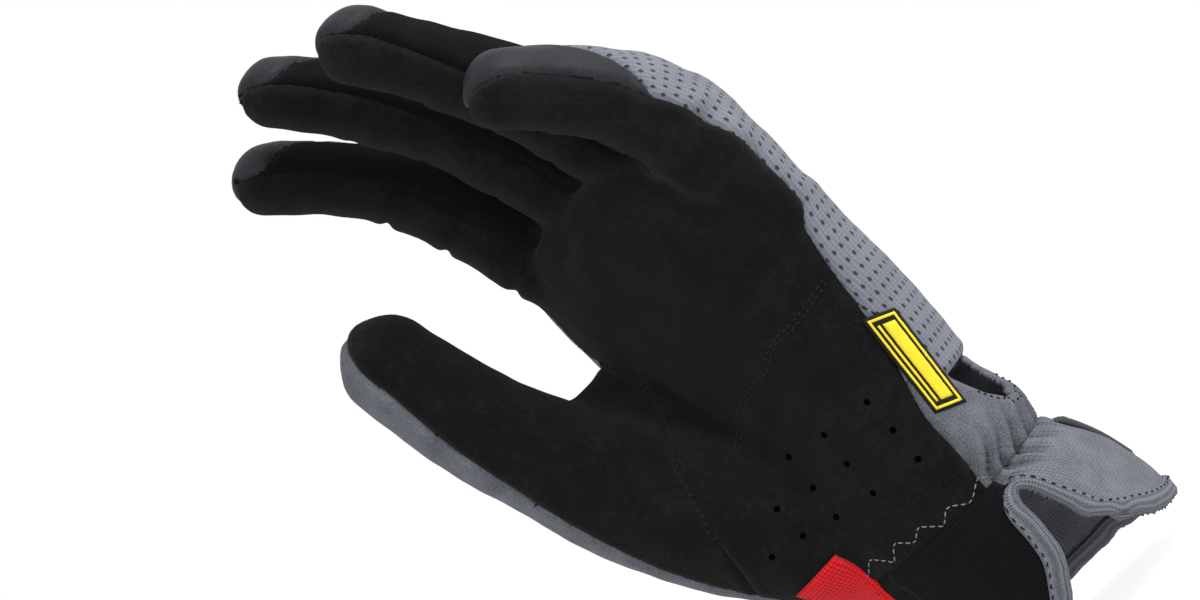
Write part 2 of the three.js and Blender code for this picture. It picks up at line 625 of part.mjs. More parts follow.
function thumbSideRegion(gap) {
  const line = lineRound(WRIST_END - gap, palmStart + LINE_STEP, () => sidePanelTop + gap);
  const around = regionFrames(thumbFrames(0, THUMB_REGION), THUMB_GIRTH).map((frame) => ({
    ...frame,
    halfWidth: frame.halfWidth * REACH,
    palmSide: frame.palmSide * REACH,
    backSide: frame.backSide * REACH,
  }));
  return curtain(level(line, CUFF_LENGTH / 2), line).add(tubeSolid(around, THUMB_SIDES));
}

const fingerFronts = (gap) =>
  FINGERS.map((finger) => fingerFront(finger, gap)).reduce((all, front) => all.add(front));

// The model: the shell is cut into panels, each one taken out of what is left
const group = new THREE.Group();
function addPiece(name, solid, finish) {
  const mesh = largestBody(solid).getMesh();
  const geometry = new THREE.BufferGeometry();
  geometry.setAttribute("position", new THREE.BufferAttribute(mesh.vertProperties, 3));
  geometry.setIndex(new THREE.BufferAttribute(mesh.triVerts, 1));
  const piece = new THREE.Mesh(geometry, new THREE.MeshStandardMaterial({ ...finish, metalness: 0 }));
  piece.name = name;
  group.add(piece);
}

let left = shell.subtract(belowWrist(SEAM_GAP)).subtract(belowBinding).subtract(keyhole);
function takePanel(name, region, finish) {
  addPiece(name, left.intersect(region(0)), finish);
  left = left.subtract(region(SEAM_GAP));
}

const palmFront = (gap) => palmRegion(gap).add(fingerFronts(gap)).add(thumbFront(gap)).add(webFront(gap));
const suedeParts = left.intersect(palmFront(0));
addPiece("palm_panel", suedeParts.subtract(thumbSideBlock(SEAM_GAP)), FINISHES.suede);
addPiece("thumb_front", suedeParts.intersect(thumbSideBlock(0)), FINISHES.suede);
left = left.subtract(palmFront(SEAM_GAP));

FINGERS.slice(1).forEach((finger, number) => {
  const before = FINGERS[number];
  const strips = (gap) =>
    sideStrip(before, "littleSide", gap)
      .add(sideStrip(finger, "thumbSide", gap))
      .add(crotchRegion(before, finger, gap));
  takePanel(`side_strip_${before.name}_${finger.name}`, strips, FINISHES.twill);
});
for (const finger of FINGERS) {
  takePanel(`tip_${finger.name}`, (gap) => tipRegion(finger, gap), FINISHES.leather);
}
takePanel("thumb_back", thumbSideRegion, FINISHES.knit);
takePanel("wrist_panel", wristRegion, FINISHES.knit);
addPiece("back_panel", left, FINISHES.knit);

const cuff = shell.intersect(belowWrist(0)).subtract(belowBinding);
addPiece("cuff_palm", cuff.intersect(cuffFrontRegion(0)), FINISHES.twill);
addPiece("cuff_back", cuff.subtract(cuffFrontRegion(SEAM_GAP)), FINISHES.knit);
addPiece("hem_binding", binding, FINISHES.knit);

const labelOutline = rectangle(LABEL_WIDTH, -LABEL_LENGTH / 2, LABEL_LENGTH / 2).map(([x, y]) => [
  x + y * Math.tan(degrees(LABEL_LEAN)),
  y - x * Math.tan(degrees(LABEL_SLOPE)),
]);
addPiece("side_label", trimPlate(LABEL_ANGLE, CUFF_LENGTH + LABEL_RISE, labelOutline), FINISHES.tag);

const tabTop = CUFF_LENGTH + TAB_RISE;
const tabOutline = rectangle(TAB_WIDTH, BINDING_WIDTH + SEAM_GAP - tabTop, 0);
addPiece("pull_tab", trimPlate(TAB_ANGLE, tabTop, tabOutline), FINISHES.red);

const badgeOutline = rectangle(BADGE_WIDTH, -BADGE_LENGTH / 2, BADGE_LENGTH / 2);
addPiece("cuff_badge", trimPlate(90, CUFF_LENGTH - BADGE_DROP, badgeOutline), FINISHES.tag);

export default group;
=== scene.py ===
"""Left-hand work glove: dark suede palm, grey knit back, gathered wrist, bound and notched cuff.

Shapes are worked out in millimetres with numpy and become Blender meshes in metres. The outer
skin is one smooth surface round the same sections as the solids. It is cut along the seams into
panels, the seams and folds are drawn into it, and tape, trim and stitches are laid on top.
"""

import math

import bpy
import numpy as np
from mathutils import Matrix, Vector
from mathutils.bvhtree import BVHTree
from mathutils.kdtree import KDTree


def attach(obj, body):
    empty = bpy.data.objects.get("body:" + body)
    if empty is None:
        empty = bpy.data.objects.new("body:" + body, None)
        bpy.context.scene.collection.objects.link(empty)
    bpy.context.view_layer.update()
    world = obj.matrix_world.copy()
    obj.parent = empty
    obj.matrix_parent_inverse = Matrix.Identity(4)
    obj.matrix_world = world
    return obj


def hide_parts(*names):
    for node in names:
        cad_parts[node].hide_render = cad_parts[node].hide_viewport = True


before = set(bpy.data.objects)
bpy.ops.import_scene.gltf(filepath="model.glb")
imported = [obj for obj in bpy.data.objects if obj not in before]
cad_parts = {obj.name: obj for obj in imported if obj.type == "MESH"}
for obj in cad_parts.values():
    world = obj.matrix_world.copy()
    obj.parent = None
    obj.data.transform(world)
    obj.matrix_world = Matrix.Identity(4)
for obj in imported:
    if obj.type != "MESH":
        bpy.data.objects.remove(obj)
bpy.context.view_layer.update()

MM = 0.001
DEGREE = math.radians(1)

# Driving sizes, in millimetres, the same as the solids'
CUFF_LENGTH = 42.0
PALM_LENGTH = 115.0
PALM_WIDTH = 92.0
PALM_DEPTH = 34.0
WALL = 1.6
BINDING_WIDTH = 4.6
BINDING_BULGE = 0.9
NOTCH_HEIGHT = 37.0
NOTCH_ANGLE = -24.0
FLAP_RISE = 5.5
SEAM_RISE = 5.0
KEYHOLE_TOP = 24.0
KEYHOLE_DEPTH = 15.0
KEYHOLE_WIDTH = 38.0
KEYHOLE_ANGLE = 20.0
KEYHOLE_SPAN = KEYHOLE_WIDTH / (DEGREE * PALM_WIDTH * 0.43)  # degrees
WRIST_END = 150.0
WRIST_SIDE_RISE = 7.0
SIDE_PANEL_TOP = 119.0
LABEL_LENGTH = 27.5
LABEL_WIDTH = 7.1
LABEL_RISE = 32.7
LABEL_ANGLE = -21.5
LABEL_SLOPE = 28.0
LABEL_LEAN = 10.0
TAB_WIDTH = 13.0
TAB_RISE = 15.0
TAB_ANGLE = 257.5
BADGE_WIDTH = 56.0
BADGE_LENGTH = 20.0
BADGE_DROP = 14.0
TIP_PATCH_LENGTH = 27.0
TRIM_THICK = 1.1

VOXEL = 0.9  # size of the skin's mesh
STATIONS = 161  # samples along a finger's middle line
BLEND = 1.6  # how far one form's seams reach into the next
FOLD_PERIOD = 6.2  # of the gathers at the wrist
FLOOR = -2.5  # the floor's height
FLOOR_REACH = 3000.0

# Sections of cuff and palm: up, across, back, half width, palm side, back side (shares)
BODY_ROWS = np.array([
    (-1.0, -0.054, -0.03, 0.44, 0.79, 1.2),
    (-0.405, -0.06, -0.06, 0.426, 0.765, 1.11),
    (-0.143, -0.07, -0.088, 0.412, 0.765, 1.01),
    (0.0, -0.076, -0.1, 0.386, 0.765, 0.86),
    (0.061, -0.085, -0.097, 0.42, 0.765, 0.93),
    (0.157, -0.105, -0.088, 0.458, 0.76, 0.794),
    (0.33, -0.06, -0.06, 0.464, 0.59, 0.68),
    (0.504, -0.03, -0.03, 0.464, 0.53, 0.56),
    (0.81, -0.032, 0.0, 0.502, 0.5, 0.5),
    (0.94, -0.018, 0.0, 0.5, 0.456, 0.485),
    (1.01, -0.01, 0.0, 0.484, 0.37, 0.4),
    (1.045, -0.01, 0.0, 0.44, 0.2, 0.235),
])
BODY_TOP = 162.0

# Fingers: knuckle (across, back, up), length, bone shares, bends, splay, half thicknesses at root,
# middle and tip, and the seams of the palm panel at root, middle and tip, in degrees round it
FINGERS = {
    "index": dict(
        knuckle=(-0.36, 0.03, 0.776), length=108, bones=(0.47, 0.28, 0.25), bends=(7, 33, 52),
        splay=-7, girth=(11.2, 9.6, 8.8), thumb=(207, 212, 208), little=(-43, -43, -20)),
    "middle": dict(
        knuckle=(-0.105, 0.2, 0.75), length=121, bones=(0.463, 0.291, 0.246), bends=(12, 29, 44),
        splay=-4.4, girth=(11.6, 10.1, 9.0), thumb=(225, 225, 200), little=(-45, -45, -20)),
    "ring": dict(
        knuckle=(0.139, 0.14, 0.73), length=113.5, bones=(0.452, 0.288, 0.26), bends=(13, 29, 38),
        splay=-0.4, girth=(11.8, 10.4, 9.4), thumb=(225, 225, 200), little=(-52, -55, -22)),
    "pinky": dict(
        knuckle=(0.357, -0.05, 0.71), length=87, bones=(0.452, 0.274, 0.274), bends=(12, 44, 56),
        splay=3.6, girth=(12.0, 11.1, 9.3), thumb=(225, 225, 200), little=(2, -31, -5)),
}
ROOT_TAPER = 0.72
CREASE_SHARES = {"index": (0.24, 0.44, 0.6), "other": (0.22, 0.42, 0.58, 0.75)}
CREASE_DEPTHS = {"index": 0.9, "other": 0.3}
STRIP_START = 152.0
STRIP_STRAIGHT = 0.84
STRIP_END = 1.0
CROTCH_HEIGHT = 155.5
CROTCH_REACH = 9.0
STRIP_BACK = {"little": 52, "thumb": 128}

# Thumb, and the seams of its suede front: share along it, half thickness, palm seam, web seam
THUMB_BASE = (-0.174, -0.353, 0.07)
THUMB_BONES = (48.5, 48.2, 43.5)
THUMB_TILTS = (34.4, 21.0, 8.6)
THUMB_TURNS = (41.6, 46.0, 47.0)
THUMB_PAD = (0.974, 0.225, 0.0)
THUMB_GIRTH = 13.6
THUMB_ROWS = np.array([
    (0.0, 1.2, -66, 165),
    (0.12, 1.4, -52, 160),
    (0.24, 1.44, -36, 155),
    (0.36, 1.36, -29, 155),
    (0.48, 1.22, -23, 165),
    (0.6, 1.1, -14, 178),
    (0.7, 1.04, -4, 178),
    (0.8, 0.99, 2, 176),
    (0.9, 0.93, 7, 174),
    (1.0, 0.9, 7, 172),
])

# Web between thumb and palm: up, across, back, reach, thickness
WEB_TURN = 248.0
WEB_ROWS = np.array([
    (0.09, -0.217, -0.35, 0.15, 0.38),
    (0.24, -0.283, -0.44, 0.174, 0.44),
    (0.42, -0.342, -0.47, 0.196, 0.4),
    (0.55, -0.391, -0.53, 0.207, 0.34),
    (0.65, -0.435, -0.59, 0.2, 0.265),
    (0.71, -0.451, -0.63, 0.163, 0.176),
    (0.74, -0.457, -0.64, 0.11, 0.09),
])

# Seams of the palm with the back: up, and degrees round on the little-finger and thumb sides
SIDE_SEAMS = np.array([
    (-0.1, -29.5, 212),
    (0.33, -31, 211),
    (0.5, -28, 210),
    (0.68, -19.5, 208),
    (0.94, -14.5, 207),
    (1.04, -14, 207),
])

# The hem beside the vent: degrees from its apex, and rise as a share of its height
VENT_ROWS = np.array([
    (-46, 0.05), (-37, 0.13), (-28, 0.27), (-21, 0.4), (-15, 0.53), (-11, 0.7), (-7.5, 0.88),
    (-3.5, 0.98), (0, 1.0), (3, 0.92), (5.5, 0.72), (9, 0.54), (17, 0.43), (27, 0.32), (38, 0.21),
])
# The rest of the hem: degrees, and height
HEM_ROWS = np.array([
    (26, 6.1), (50, FLAP_RISE), (90, FLAP_RISE), (150, FLAP_RISE), (170, FLAP_RISE), (182, 4.2),
    (196, 0.6), (215, 0), (240, 0), (265, 0.2),
])
# The lower edge of the wrist opening: along its width, and drop as a share of its depth
KEYHOLE_ROWS = np.array([
    (-0.5, 0.03), (-0.36, 0.36), (-0.2, 0.74), (-0.04, 0.96), (0.1, 1.0), (0.26, 0.85),
    (0.4, 0.5), (0.5, 0.03),
])

# The photograph's camera: 1200 x 600 pixels, level, seen from the little-finger side of the palm
VIEW_AZIMUTH = 47.0
VIEW_ROLL = 48.0
VIEW_TARGET = np.array([-16.15, -17.1, 138.7])
VIEW_DISTANCE = 1045.0
VIEW_FOCUS = 4345.0  # pixels
PHOTO_SIZE = (1200, 600)
PX = VIEW_DISTANCE / VIEW_FOCUS  # millimetres for one pixel at the target

# Lines read off the photograph, in its pixels
THUMB_SEAM = [
    (560, 345), (598, 362), (640, 383), (659, 408), (672, 459), (691, 497), (717, 542), (760, 600),
    (900, 900), (300, 900), (100, 400), (300, 300), (500, 300),
]
PALM_SEAM_A = [(825, 281), (793, 325), (774, 344), (761, 376), (742, 408), (736, 459)]
PALM_SEAM_B = [(600, 364), (640, 383), (659, 408), (672, 459), (691, 497), (717, 542)]
CREASES = [
    ([(550, 302), (560, 250), (582, 212), (610, 185), (640, 172)], 1.1, 4.0),
    ([(675, 174), (692, 168), (704, 153), (709, 135), (710, 116)], 1.6, 3.0),
    ([(755, 165), (740, 188), (710, 206)], 0.8, 4.0),
    ([(795, 232), (778, 250), (752, 268)], 0.7, 4.0),
    ([(700, 260), (720, 250), (760, 262)], 0.4, 5.0),
    ([(785, 138), (792, 158), (802, 170)], 0.8, 2.4),
    ([(560, 372), (584, 398), (604, 418)], 1.0, 3.0),
]
ZIGZAG = [
    (995, 478), (978, 476), (971, 503), (946, 507), (944, 526), (917, 527), (916, 543), (893, 543),
    (895, 562), (869, 559), (869, 577), (846, 577),
]
TOPSTITCH = [(965, 467), (943, 483), (911, 505), (879, 527), (850, 547)]
BACK_STITCH = [(846, 298), (862, 306), (880, 317)]
HOLES = [
    (867, 402), (893, 430), (824, 435), (918, 459), (789, 457), (847, 464),
    (873, 493), (813, 488), (777, 509), (836, 517), (803, 536), (772, 557),
]


# Numbers

def smooth_rows(xs, ys):
    """A smooth curve through rows that doesn't overshoot them."""
    xs, ys = np.asarray(xs, float), np.asarray(ys, float)
    step = np.diff(xs)
    slope = np.diff(ys) / step
    turn = np.zeros_like(ys)
    turn[0], turn[-1] = slope[0], slope[-1]
    same = slope[1:] * slope[:-1] > 0
    mean = 2 * slope[1:] * slope[:-1] / np.where(same, slope[1:] + slope[:-1], 1)
    turn[1:-1] = np.where(same, mean, 0)

    def at(x):
        x = np.clip(x, xs[0], xs[-1])
        k = np.clip(np.searchsorted(xs, x) - 1, 0, len(xs) - 2)
        t = (x - xs[k]) / step[k]
        near = (1 + 2 * t) * (1 - t) ** 2 * ys[k] + t * (1 - t) ** 2 * step[k] * turn[k]
        far = t * t * (3 - 2 * t) * ys[k + 1] + t * t * (t - 1) * step[k] * turn[k + 1]
        return near + far

    return at


def smoothstep(low, high, x):
    t = np.clip((x - low) / (high - low), 0, 1)
    return t * t * (3 - 2 * t)


def unit(v):
    return v / np.maximum(np.linalg.norm(v, axis=-1, keepdims=True), 1e-9)


def turned(degrees):
    a = np.radians(degrees)
    return np.cos(a), np.sin(a)


def signed_arc(angle, start, end, speed):
    """Millimetres inside the stretch of angles from start to end, negative outside it."""
    middle, half = (start + end) / 2, (end - start) / 2
    return (half - np.abs((angle - middle + 180) % 360 - 180)) * speed


def beyond_end(aside, past):
    """Distance from a form's surface, from that of its sides and how far past its end a point is."""
    return np.where(past > 0, np.maximum(aside, 0) + past, aside)


def ripple(points, size, seed):
    """A smooth random field of about -1 to 1 whose bumps are about that size."""
    random = np.random.default_rng(seed)
    total = np.zeros(len(points))
    for _ in range(9):
        way = unit(random.normal(size=3))
        wave = 2 * math.pi / (size * random.uniform(1.4, 3.2))
        total += np.sin(points @ way * wave + random.uniform(0, 6.28))
    return total / 3.2


def path_run(points):
    """Length along a line of points, at each of them."""
    return np.concatenate([[0], np.cumsum(np.linalg.norm(np.diff(points, axis=0), axis=1))])


def smooth_line(line, count=24):
    line = np.array(line, float)
    run = path_run(line)
    even = np.linspace(0, run[-1], count)
    return np.stack([smooth_rows(run, line[:, i])(even) for i in range(2)], 1)


def line_distance(points, line):
    """Distance of 2-D points from a line of points."""
    best = np.full(len(points), 1e9)
    for a, b in zip(line[:-1], line[1:]):
        way = b - a
        t = np.clip((points - a) @ way / max(way @ way, 1e-9), 0, 1)
        best = np.minimum(best, np.linalg.norm(points - a - t[:, None] * way, axis=1))
    return best


def polygon_field(points, corners):
    """Signed distance of 2-D points from a polygon's edge, positive inside."""
    corners = np.asarray(corners, float)
    closed = np.vstack([corners, corners[:1]])
    inside = np.zeros(len(points), bool)
    for (x0, y0), (x1, y1) in zip(closed[:-1], closed[1:]):
        crosses = (y0 > points[:, 1]) != (y1 > points[:, 1])
        rise = y1 - y0 if y1 != y0 else 1e-9
        inside ^= crosses & (points[:, 0] < x0 + (points[:, 1] - y0) * (x1 - x0) / rise)
    return line_distance(points, closed) * np.where(inside, 1, -1)


# The photograph's view

SIDEWAYS = np.array([*turned(VIEW_AZIMUTH), 0.0])
VIEW_WAY = np.array([-SIDEWAYS[1], SIDEWAYS[0], 0.0])
VIEW_RIGHT = SIDEWAYS * turned(VIEW_ROLL)[0] - np.array([0, 0, turned(VIEW_ROLL)[1]])
VIEW_UP = SIDEWAYS * turned(VIEW_ROLL)[1] + np.array([0, 0, turned(VIEW_ROLL)[0]])
VIEW_PLACE = VIEW_TARGET - VIEW_WAY * VIEW_DISTANCE


def photo_pixels(points):
    """Where points show in the photograph."""
    seen = points - VIEW_PLACE
    scale = VIEW_FOCUS / (seen @ VIEW_WAY)
    right, up = seen @ VIEW_RIGHT * scale, seen @ VIEW_UP * scale
    return np.stack([PHOTO_SIZE[0] / 2 + right, PHOTO_SIZE[1] / 2 - up], 1)


# The sections of cuff and palm

BODY_CURVES = [
    smooth_rows(CUFF_LENGTH + np.where(BODY_ROWS[:, 0] < 0, CUFF_LENGTH, PALM_LENGTH) * BODY_ROWS[:, 0],
                BODY_ROWS[:, column] * (PALM_WIDTH if column in (1, 3) else PALM_DEPTH))
    for column in range(1, 6)
]


def height_at(up):
    return CUFF_LENGTH + up * PALM_LENGTH


def body_section(z):
    return [curve(z) for curve in BODY_CURVES]


def body_point(degrees, z, offset=0.0):
    degrees, z = np.broadcast_arrays(np.asarray(degrees, float), np.asarray(z, float))
    cx, cy, half, palm, back = body_section(z)
    right, out = turned(degrees)
    side = np.where(out < 0, palm, back)
    return np.stack([cx + (half + offset) * right, cy + (side + offset) * out, z], -1)


def body_place(points):
    """Degrees round the section, distance from its surface, and millimetres for one degree."""
    z = points[:, 2]
    cx, cy, half, palm, back = body_section(np.clip(z, -8, BODY_TOP))
    x, y = points[:, 0] - cx, points[:, 1] - cy
    side = np.where(y < 0, palm, back)
    reach = np.hypot(x / half, y / side)
    angle = np.degrees(np.arctan2(y / side, x / half))
    off = beyond_end((reach - 1) * np.hypot(x, y) / np.maximum(reach, 1e-6), z - BODY_TOP)
    right, out = turned(angle)
    return angle, off, np.hypot(half * out, side * right) * DEGREE


ARC_HEIGHTS = np.linspace(-8, BODY_TOP, 60)
ARC_ANGLES = np.linspace(-90, 270, 361)


def arc_table():
    """Length round the section from the middle of the back, for each height and angle."""
    rings = np.stack([body_point(ARC_ANGLES, z) for z in ARC_HEIGHTS])
    steps = np.linalg.norm(np.diff(rings, axis=1), axis=2)
    arcs = np.concatenate([np.zeros((len(rings), 1)), np.cumsum(steps, axis=1)], axis=1)
    return arcs - arcs[:, 180:181]


ARCS = arc_table()


def body_arc(angle, z):
    """Length round the section from the middle of the back to an angle, at a height."""
    turn = (np.asarray(angle, float) + 90) % 360
    row = (np.clip(z, -8, BODY_TOP) + 8) / (BODY_TOP + 8) * (len(ARC_HEIGHTS) - 1)
    k = np.clip(row.astype(int), 0, len(ARC_HEIGHTS) - 2)
    j = np.clip(turn.astype(int), 0, 359)
    s, t = row - k, turn - j
    low = ARCS[k, j] * (1 - t) + ARCS[k, j + 1] * t
    high = ARCS[k + 1, j] * (1 - t) + ARCS[k + 1, j + 1] * t
    return low * (1 - s) + high * s


# Fingers and thumb as tubes

def spline(points):
    """Evenly spaced points on a smooth curve through the given ones."""
    p = np.array(points, float)
    p = np.vstack([2 * p[0] - p[1], p, 2 * p[-1] - p[-2]])
    s = np.linspace(0, 1, 40, endpoint=False)[:, None]
    dense = []
    for k in range(1, len(p) - 2):
        a, b, c, d = p[k - 1:k + 3]
        t0, t1, t2 = [math.sqrt(np.linalg.norm(q)) for q in (b - a, c - b, d - c)]
        m1 = ((b - a) / t0 - (c - a) / (t0 + t1) + (c - b) / t1) * t1
        m2 = ((c - b) / t1 - (d - b) / (t1 + t2) + (d - c) / t2) * t1
        bend = -3 * b + 3 * c - 2 * m1 - m2
        dense.append(b + m1 * s + bend * s ** 2 + (2 * b - 2 * c + m1 + m2) * s ** 3)
    dense = np.vstack([*dense, p[-2:-1]])
    run = path_run(dense)
    even = np.linspace(0, run[-1], STATIONS)
    return np.stack([np.interp(even, run, dense[:, i]) for i in range(3)], 1), run[-1]


class Tube:
    """A bent tube with a rounded end, and where points lie along and round it."""

    def __init__(self, joints, shares, sizes, hint):
        self.line, self.length = spline(joints)
        self.share = np.linspace(0, 1, STATIONS)
        self.size = smooth_rows(shares, sizes)(self.share)
        self.way = unit(np.gradient(self.line, axis=0))
        across = np.array(hint) - (self.way @ np.array(hint))[:, None] * self.way
        self.across = unit(across)
        self.back = np.cross(self.way, self.across)

    def rings(self, sides):
        turn = np.linspace(0, 360, sides, endpoint=False)
        right, out = turned(turn)
        stations = np.concatenate([np.arange(0, 0.9, 0.015), 1 - 0.1 * np.cos(np.linspace(0.1, 1.55, 14))])
        k = np.clip((stations * (STATIONS - 1)).round().astype(int), 0, STATIONS - 1)
        end = self.size[-1]
        dome = np.clip(1 - (1 - stations) * self.length / end, 0, 0.995)
        size = (self.size[k] * np.sqrt(1 - dome ** 2))[:, None, None]
        ring = right[None, :, None] * self.across[k][:, None] + out[None, :, None] * self.back[k][:, None]
        return self.line[k][:, None] + ring * size

    def place(self, points):
        """Share along the tube, degrees round it, distance from its surface, and its size there."""
        nearest = np.zeros(len(points), int)
        for start in range(0, len(points), 20000):
            some = points[start:start + 20000]
            gaps = (some ** 2).sum(1)[:, None] - 2 * some @ self.line.T + (self.line ** 2).sum(1)
            nearest[start:start + 20000] = gaps.argmin(1)
        off = points - self.line[nearest]
        along = (off * self.way[nearest]).sum(1)
        a = (off * self.across[nearest]).sum(1)
        b = (off * self.back[nearest]).sum(1)
        share = self.share[nearest] + along / self.length
        size = self.size[nearest]
        beyond = np.maximum(np.maximum(share - 1, -share) * self.length, 0)
        return share, np.degrees(np.arctan2(b, a)), np.hypot(np.hypot(a, b), beyond) - size, size


def finger_tube(finger):
    across, back, up = finger["knuckle"]
    spots = [np.array([across * PALM_WIDTH, back * PALM_DEPTH, height_at(up)])]
    for share, bend in zip(finger["bones"], finger["bends"]):
        (lean_x, lean_y), (rise, drop) = turned(finger["splay"]), turned(bend)
        way = unit(np.array([lean_y * rise, -drop, rise]))
        spots.append(spots[-1] + way * share * finger["length"])
    root, middle, tip = finger["girth"]
    return Tube(spots, [0, 0.3, 0.38, 0.6, 0.88, 1], [root * ROOT_TAPER, root, root, middle, tip, tip],
                (1, 0, 0))


def thumb_tube():
    spots = [np.array([THUMB_BASE[0] * PALM_WIDTH, THUMB_BASE[1] * PALM_DEPTH, height_at(THUMB_BASE[2])])]
    for bone, tilt, turn in zip(THUMB_BONES, THUMB_TILTS, THUMB_TURNS):
        (rise, lean), (x, y) = turned(tilt), turned(turn)
        spots.append(spots[-1] + np.array([-lean * x, -lean * y, rise]) * bone)
    hint = np.cross(THUMB_PAD, (0, 0, 1))
    return Tube(spots, THUMB_ROWS[:, 0], THUMB_ROWS[:, 1] * THUMB_GIRTH, hint)


TUBES = {name: finger_tube(finger) for name, finger in FINGERS.items()}
THUMB = thumb_tube()

WEB_HEIGHTS = height_at(WEB_ROWS[:, 0])
WEB_ACROSS = np.array([*turned(WEB_TURN), 0.0])
WEB_BACK = np.array([-WEB_ACROSS[1], WEB_ACROSS[0], 0.0])
WEB_CURVES = [
    smooth_rows(WEB_HEIGHTS, WEB_ROWS[:, column] * (PALM_WIDTH if column in (1, 3) else PALM_DEPTH))
    for column in range(1, 5)
]


def web_rings(sides):
    right, out = turned(np.linspace(0, 360, sides, endpoint=False))
    rings = []
    for z in np.linspace(WEB_HEIGHTS[0], WEB_HEIGHTS[-1], 40):
        x, y, reach, thick = [float(curve(z)) for curve in WEB_CURVES]
        ring = right[:, None] * reach * WEB_ACROSS + out[:, None] * thick * WEB_BACK
        rings.append(np.array([x, y, z]) + ring)
    return np.array(rings)


def web_place(points):
    """Millimetres from the web's middle towards the palm side, and distance from its surface."""
    z = points[:, 2]
    x, y, reach, thick = [curve(z) for curve in WEB_CURVES]
    off = points - np.stack([x, y, z], 1)
    a, b = off @ WEB_ACROSS, off @ WEB_BACK
    radius = np.hypot(a / reach, b / thick)
    gap = (radius - 1) * np.hypot(a, b) / np.maximum(radius, 1e-6)
    return b, beyond_end(gap, np.maximum(WEB_HEIGHTS[0] - z, z - WEB_HEIGHTS[-1]))


# Meshes

def ring_faces(rows, sides):
    r, s = np.meshgrid(np.arange(rows - 1), np.arange(sides), indexing="ij")
    here, after = r * sides, (r + 1) * sides
    nxt = (s + 1) % sides
    return np.stack([here + s, here + nxt, after + nxt, after + s], -1).reshape(-1, 4)


def halved(quads):
    return np.vstack([quads[:, [0, 1, 2]], quads[:, [0, 2, 3]]])


def tri_edges(tris):
    return np.vstack([tris[:, [0, 1]], tris[:, [1, 2]], tris[:, [2, 0]]])


def closed_loft(rings):
    """Points and triangles of a loft with both ends closed to a middle point."""
    rows, sides = rings.shape[:2]
    tris = halved(ring_faces(rows, sides))
    points = np.vstack([rings.reshape(-1, 3), rings[0].mean(0), rings[-1].mean(0)])
    s = np.arange(sides)
    nxt = (s + 1) % sides
    first, last = rows * sides, rows * sides + 1
    low = np.stack([nxt, s, np.full(sides, first)], 1)
    top = (rows - 1) * sides
    high = np.stack([top + s, top + nxt, np.full(sides, last)], 1)
    return points, np.vstack([tris, low, high])


def joined(parts):
    """Points and triangles of several meshes as one."""
    starts = np.cumsum([0] + [len(points) for points, _ in parts])
    tris = [tris + start for (_, tris), start in zip(parts, starts)]
    return np.vstack([points for points, _ in parts]), np.vstack(tris)


def closed_sheet(tris, count):
    """Faces of a thin plate: its upper side, its lower one from point count on, and its walls."""
    edges = tri_edges(tris)
    _, first, times = np.unique(np.sort(edges, axis=1), axis=0, return_index=True, return_counts=True)
    a, b = edges[first[times == 1]].T
    walls = [np.stack([b, a, a + count], 1), np.stack([b, a + count, b + count], 1)]
    return np.vstack([tris, tris[:, ::-1] + count, *walls])


def raw_mesh(name, points, faces):
    """A Blender mesh from points in millimetres and an array of faces with equal corner counts."""
    faces = np.asarray(faces, np.int32)
    mesh = bpy.data.meshes.new(name)
    mesh.vertices.add(len(points))
    mesh.vertices.foreach_set("co", (np.asarray(points, float) * MM).astype(np.float32).ravel())
    mesh.loops.add(faces.size)
    mesh.loops.foreach_set("vertex_index", faces.ravel())
    mesh.polygons.add(len(faces))
    mesh.polygons.foreach_set("loop_start", np.arange(len(faces), dtype=np.int32) * faces.shape[1])
    mesh.update(calc_edges=True)
    mesh.validate()
    return mesh


def add_piece(name, points, faces, material, nodes=(), uv=None):
    mesh = raw_mesh(name, points, faces)
    mesh.materials.append(material)
    mesh.polygons.foreach_set("use_smooth", np.full(len(mesh.polygons), True))
    if uv is not None:
        layer = mesh.uv_layers.new(name="Cloth")
        corner = np.zeros(len(mesh.loops), np.int32)
        mesh.loops.foreach_get("vertex_index", corner)
        layer.data.foreach_set("uv", np.asarray(uv, np.float32)[corner].ravel())
    piece = bpy.data.objects.new(name, mesh)
    bpy.context.scene.collection.objects.link(piece)
    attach(piece, "root")
    if nodes:
        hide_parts(*nodes)
    return piece


def vertex_normals(points, tris):
    a, b, c = (points[tris[:, i]] for i in range(3))
    face = np.cross(b - a, c - a)
    total = np.zeros_like(points)
    for i in range(3):
        for axis in range(3):
            total[:, axis] += np.bincount(tris[:, i], face[:, axis], len(points))
    return unit(total)


def relaxed(points, tris, rounds, amount):
    """Points moved towards the middle of their neighbours, by an amount for each point."""
    edges = tri_edges(tris)
    count = np.bincount(edges.ravel(), minlength=len(points))[:, None]
    for _ in range(rounds):
        total = np.zeros_like(points)
        for axis in range(3):
            total[:, axis] = (np.bincount(edges[:, 0], points[edges[:, 1], axis], len(points))
                              + np.bincount(edges[:, 1], points[edges[:, 0], axis], len(points)))
        points = points + (total / count - points) * amount
    return points


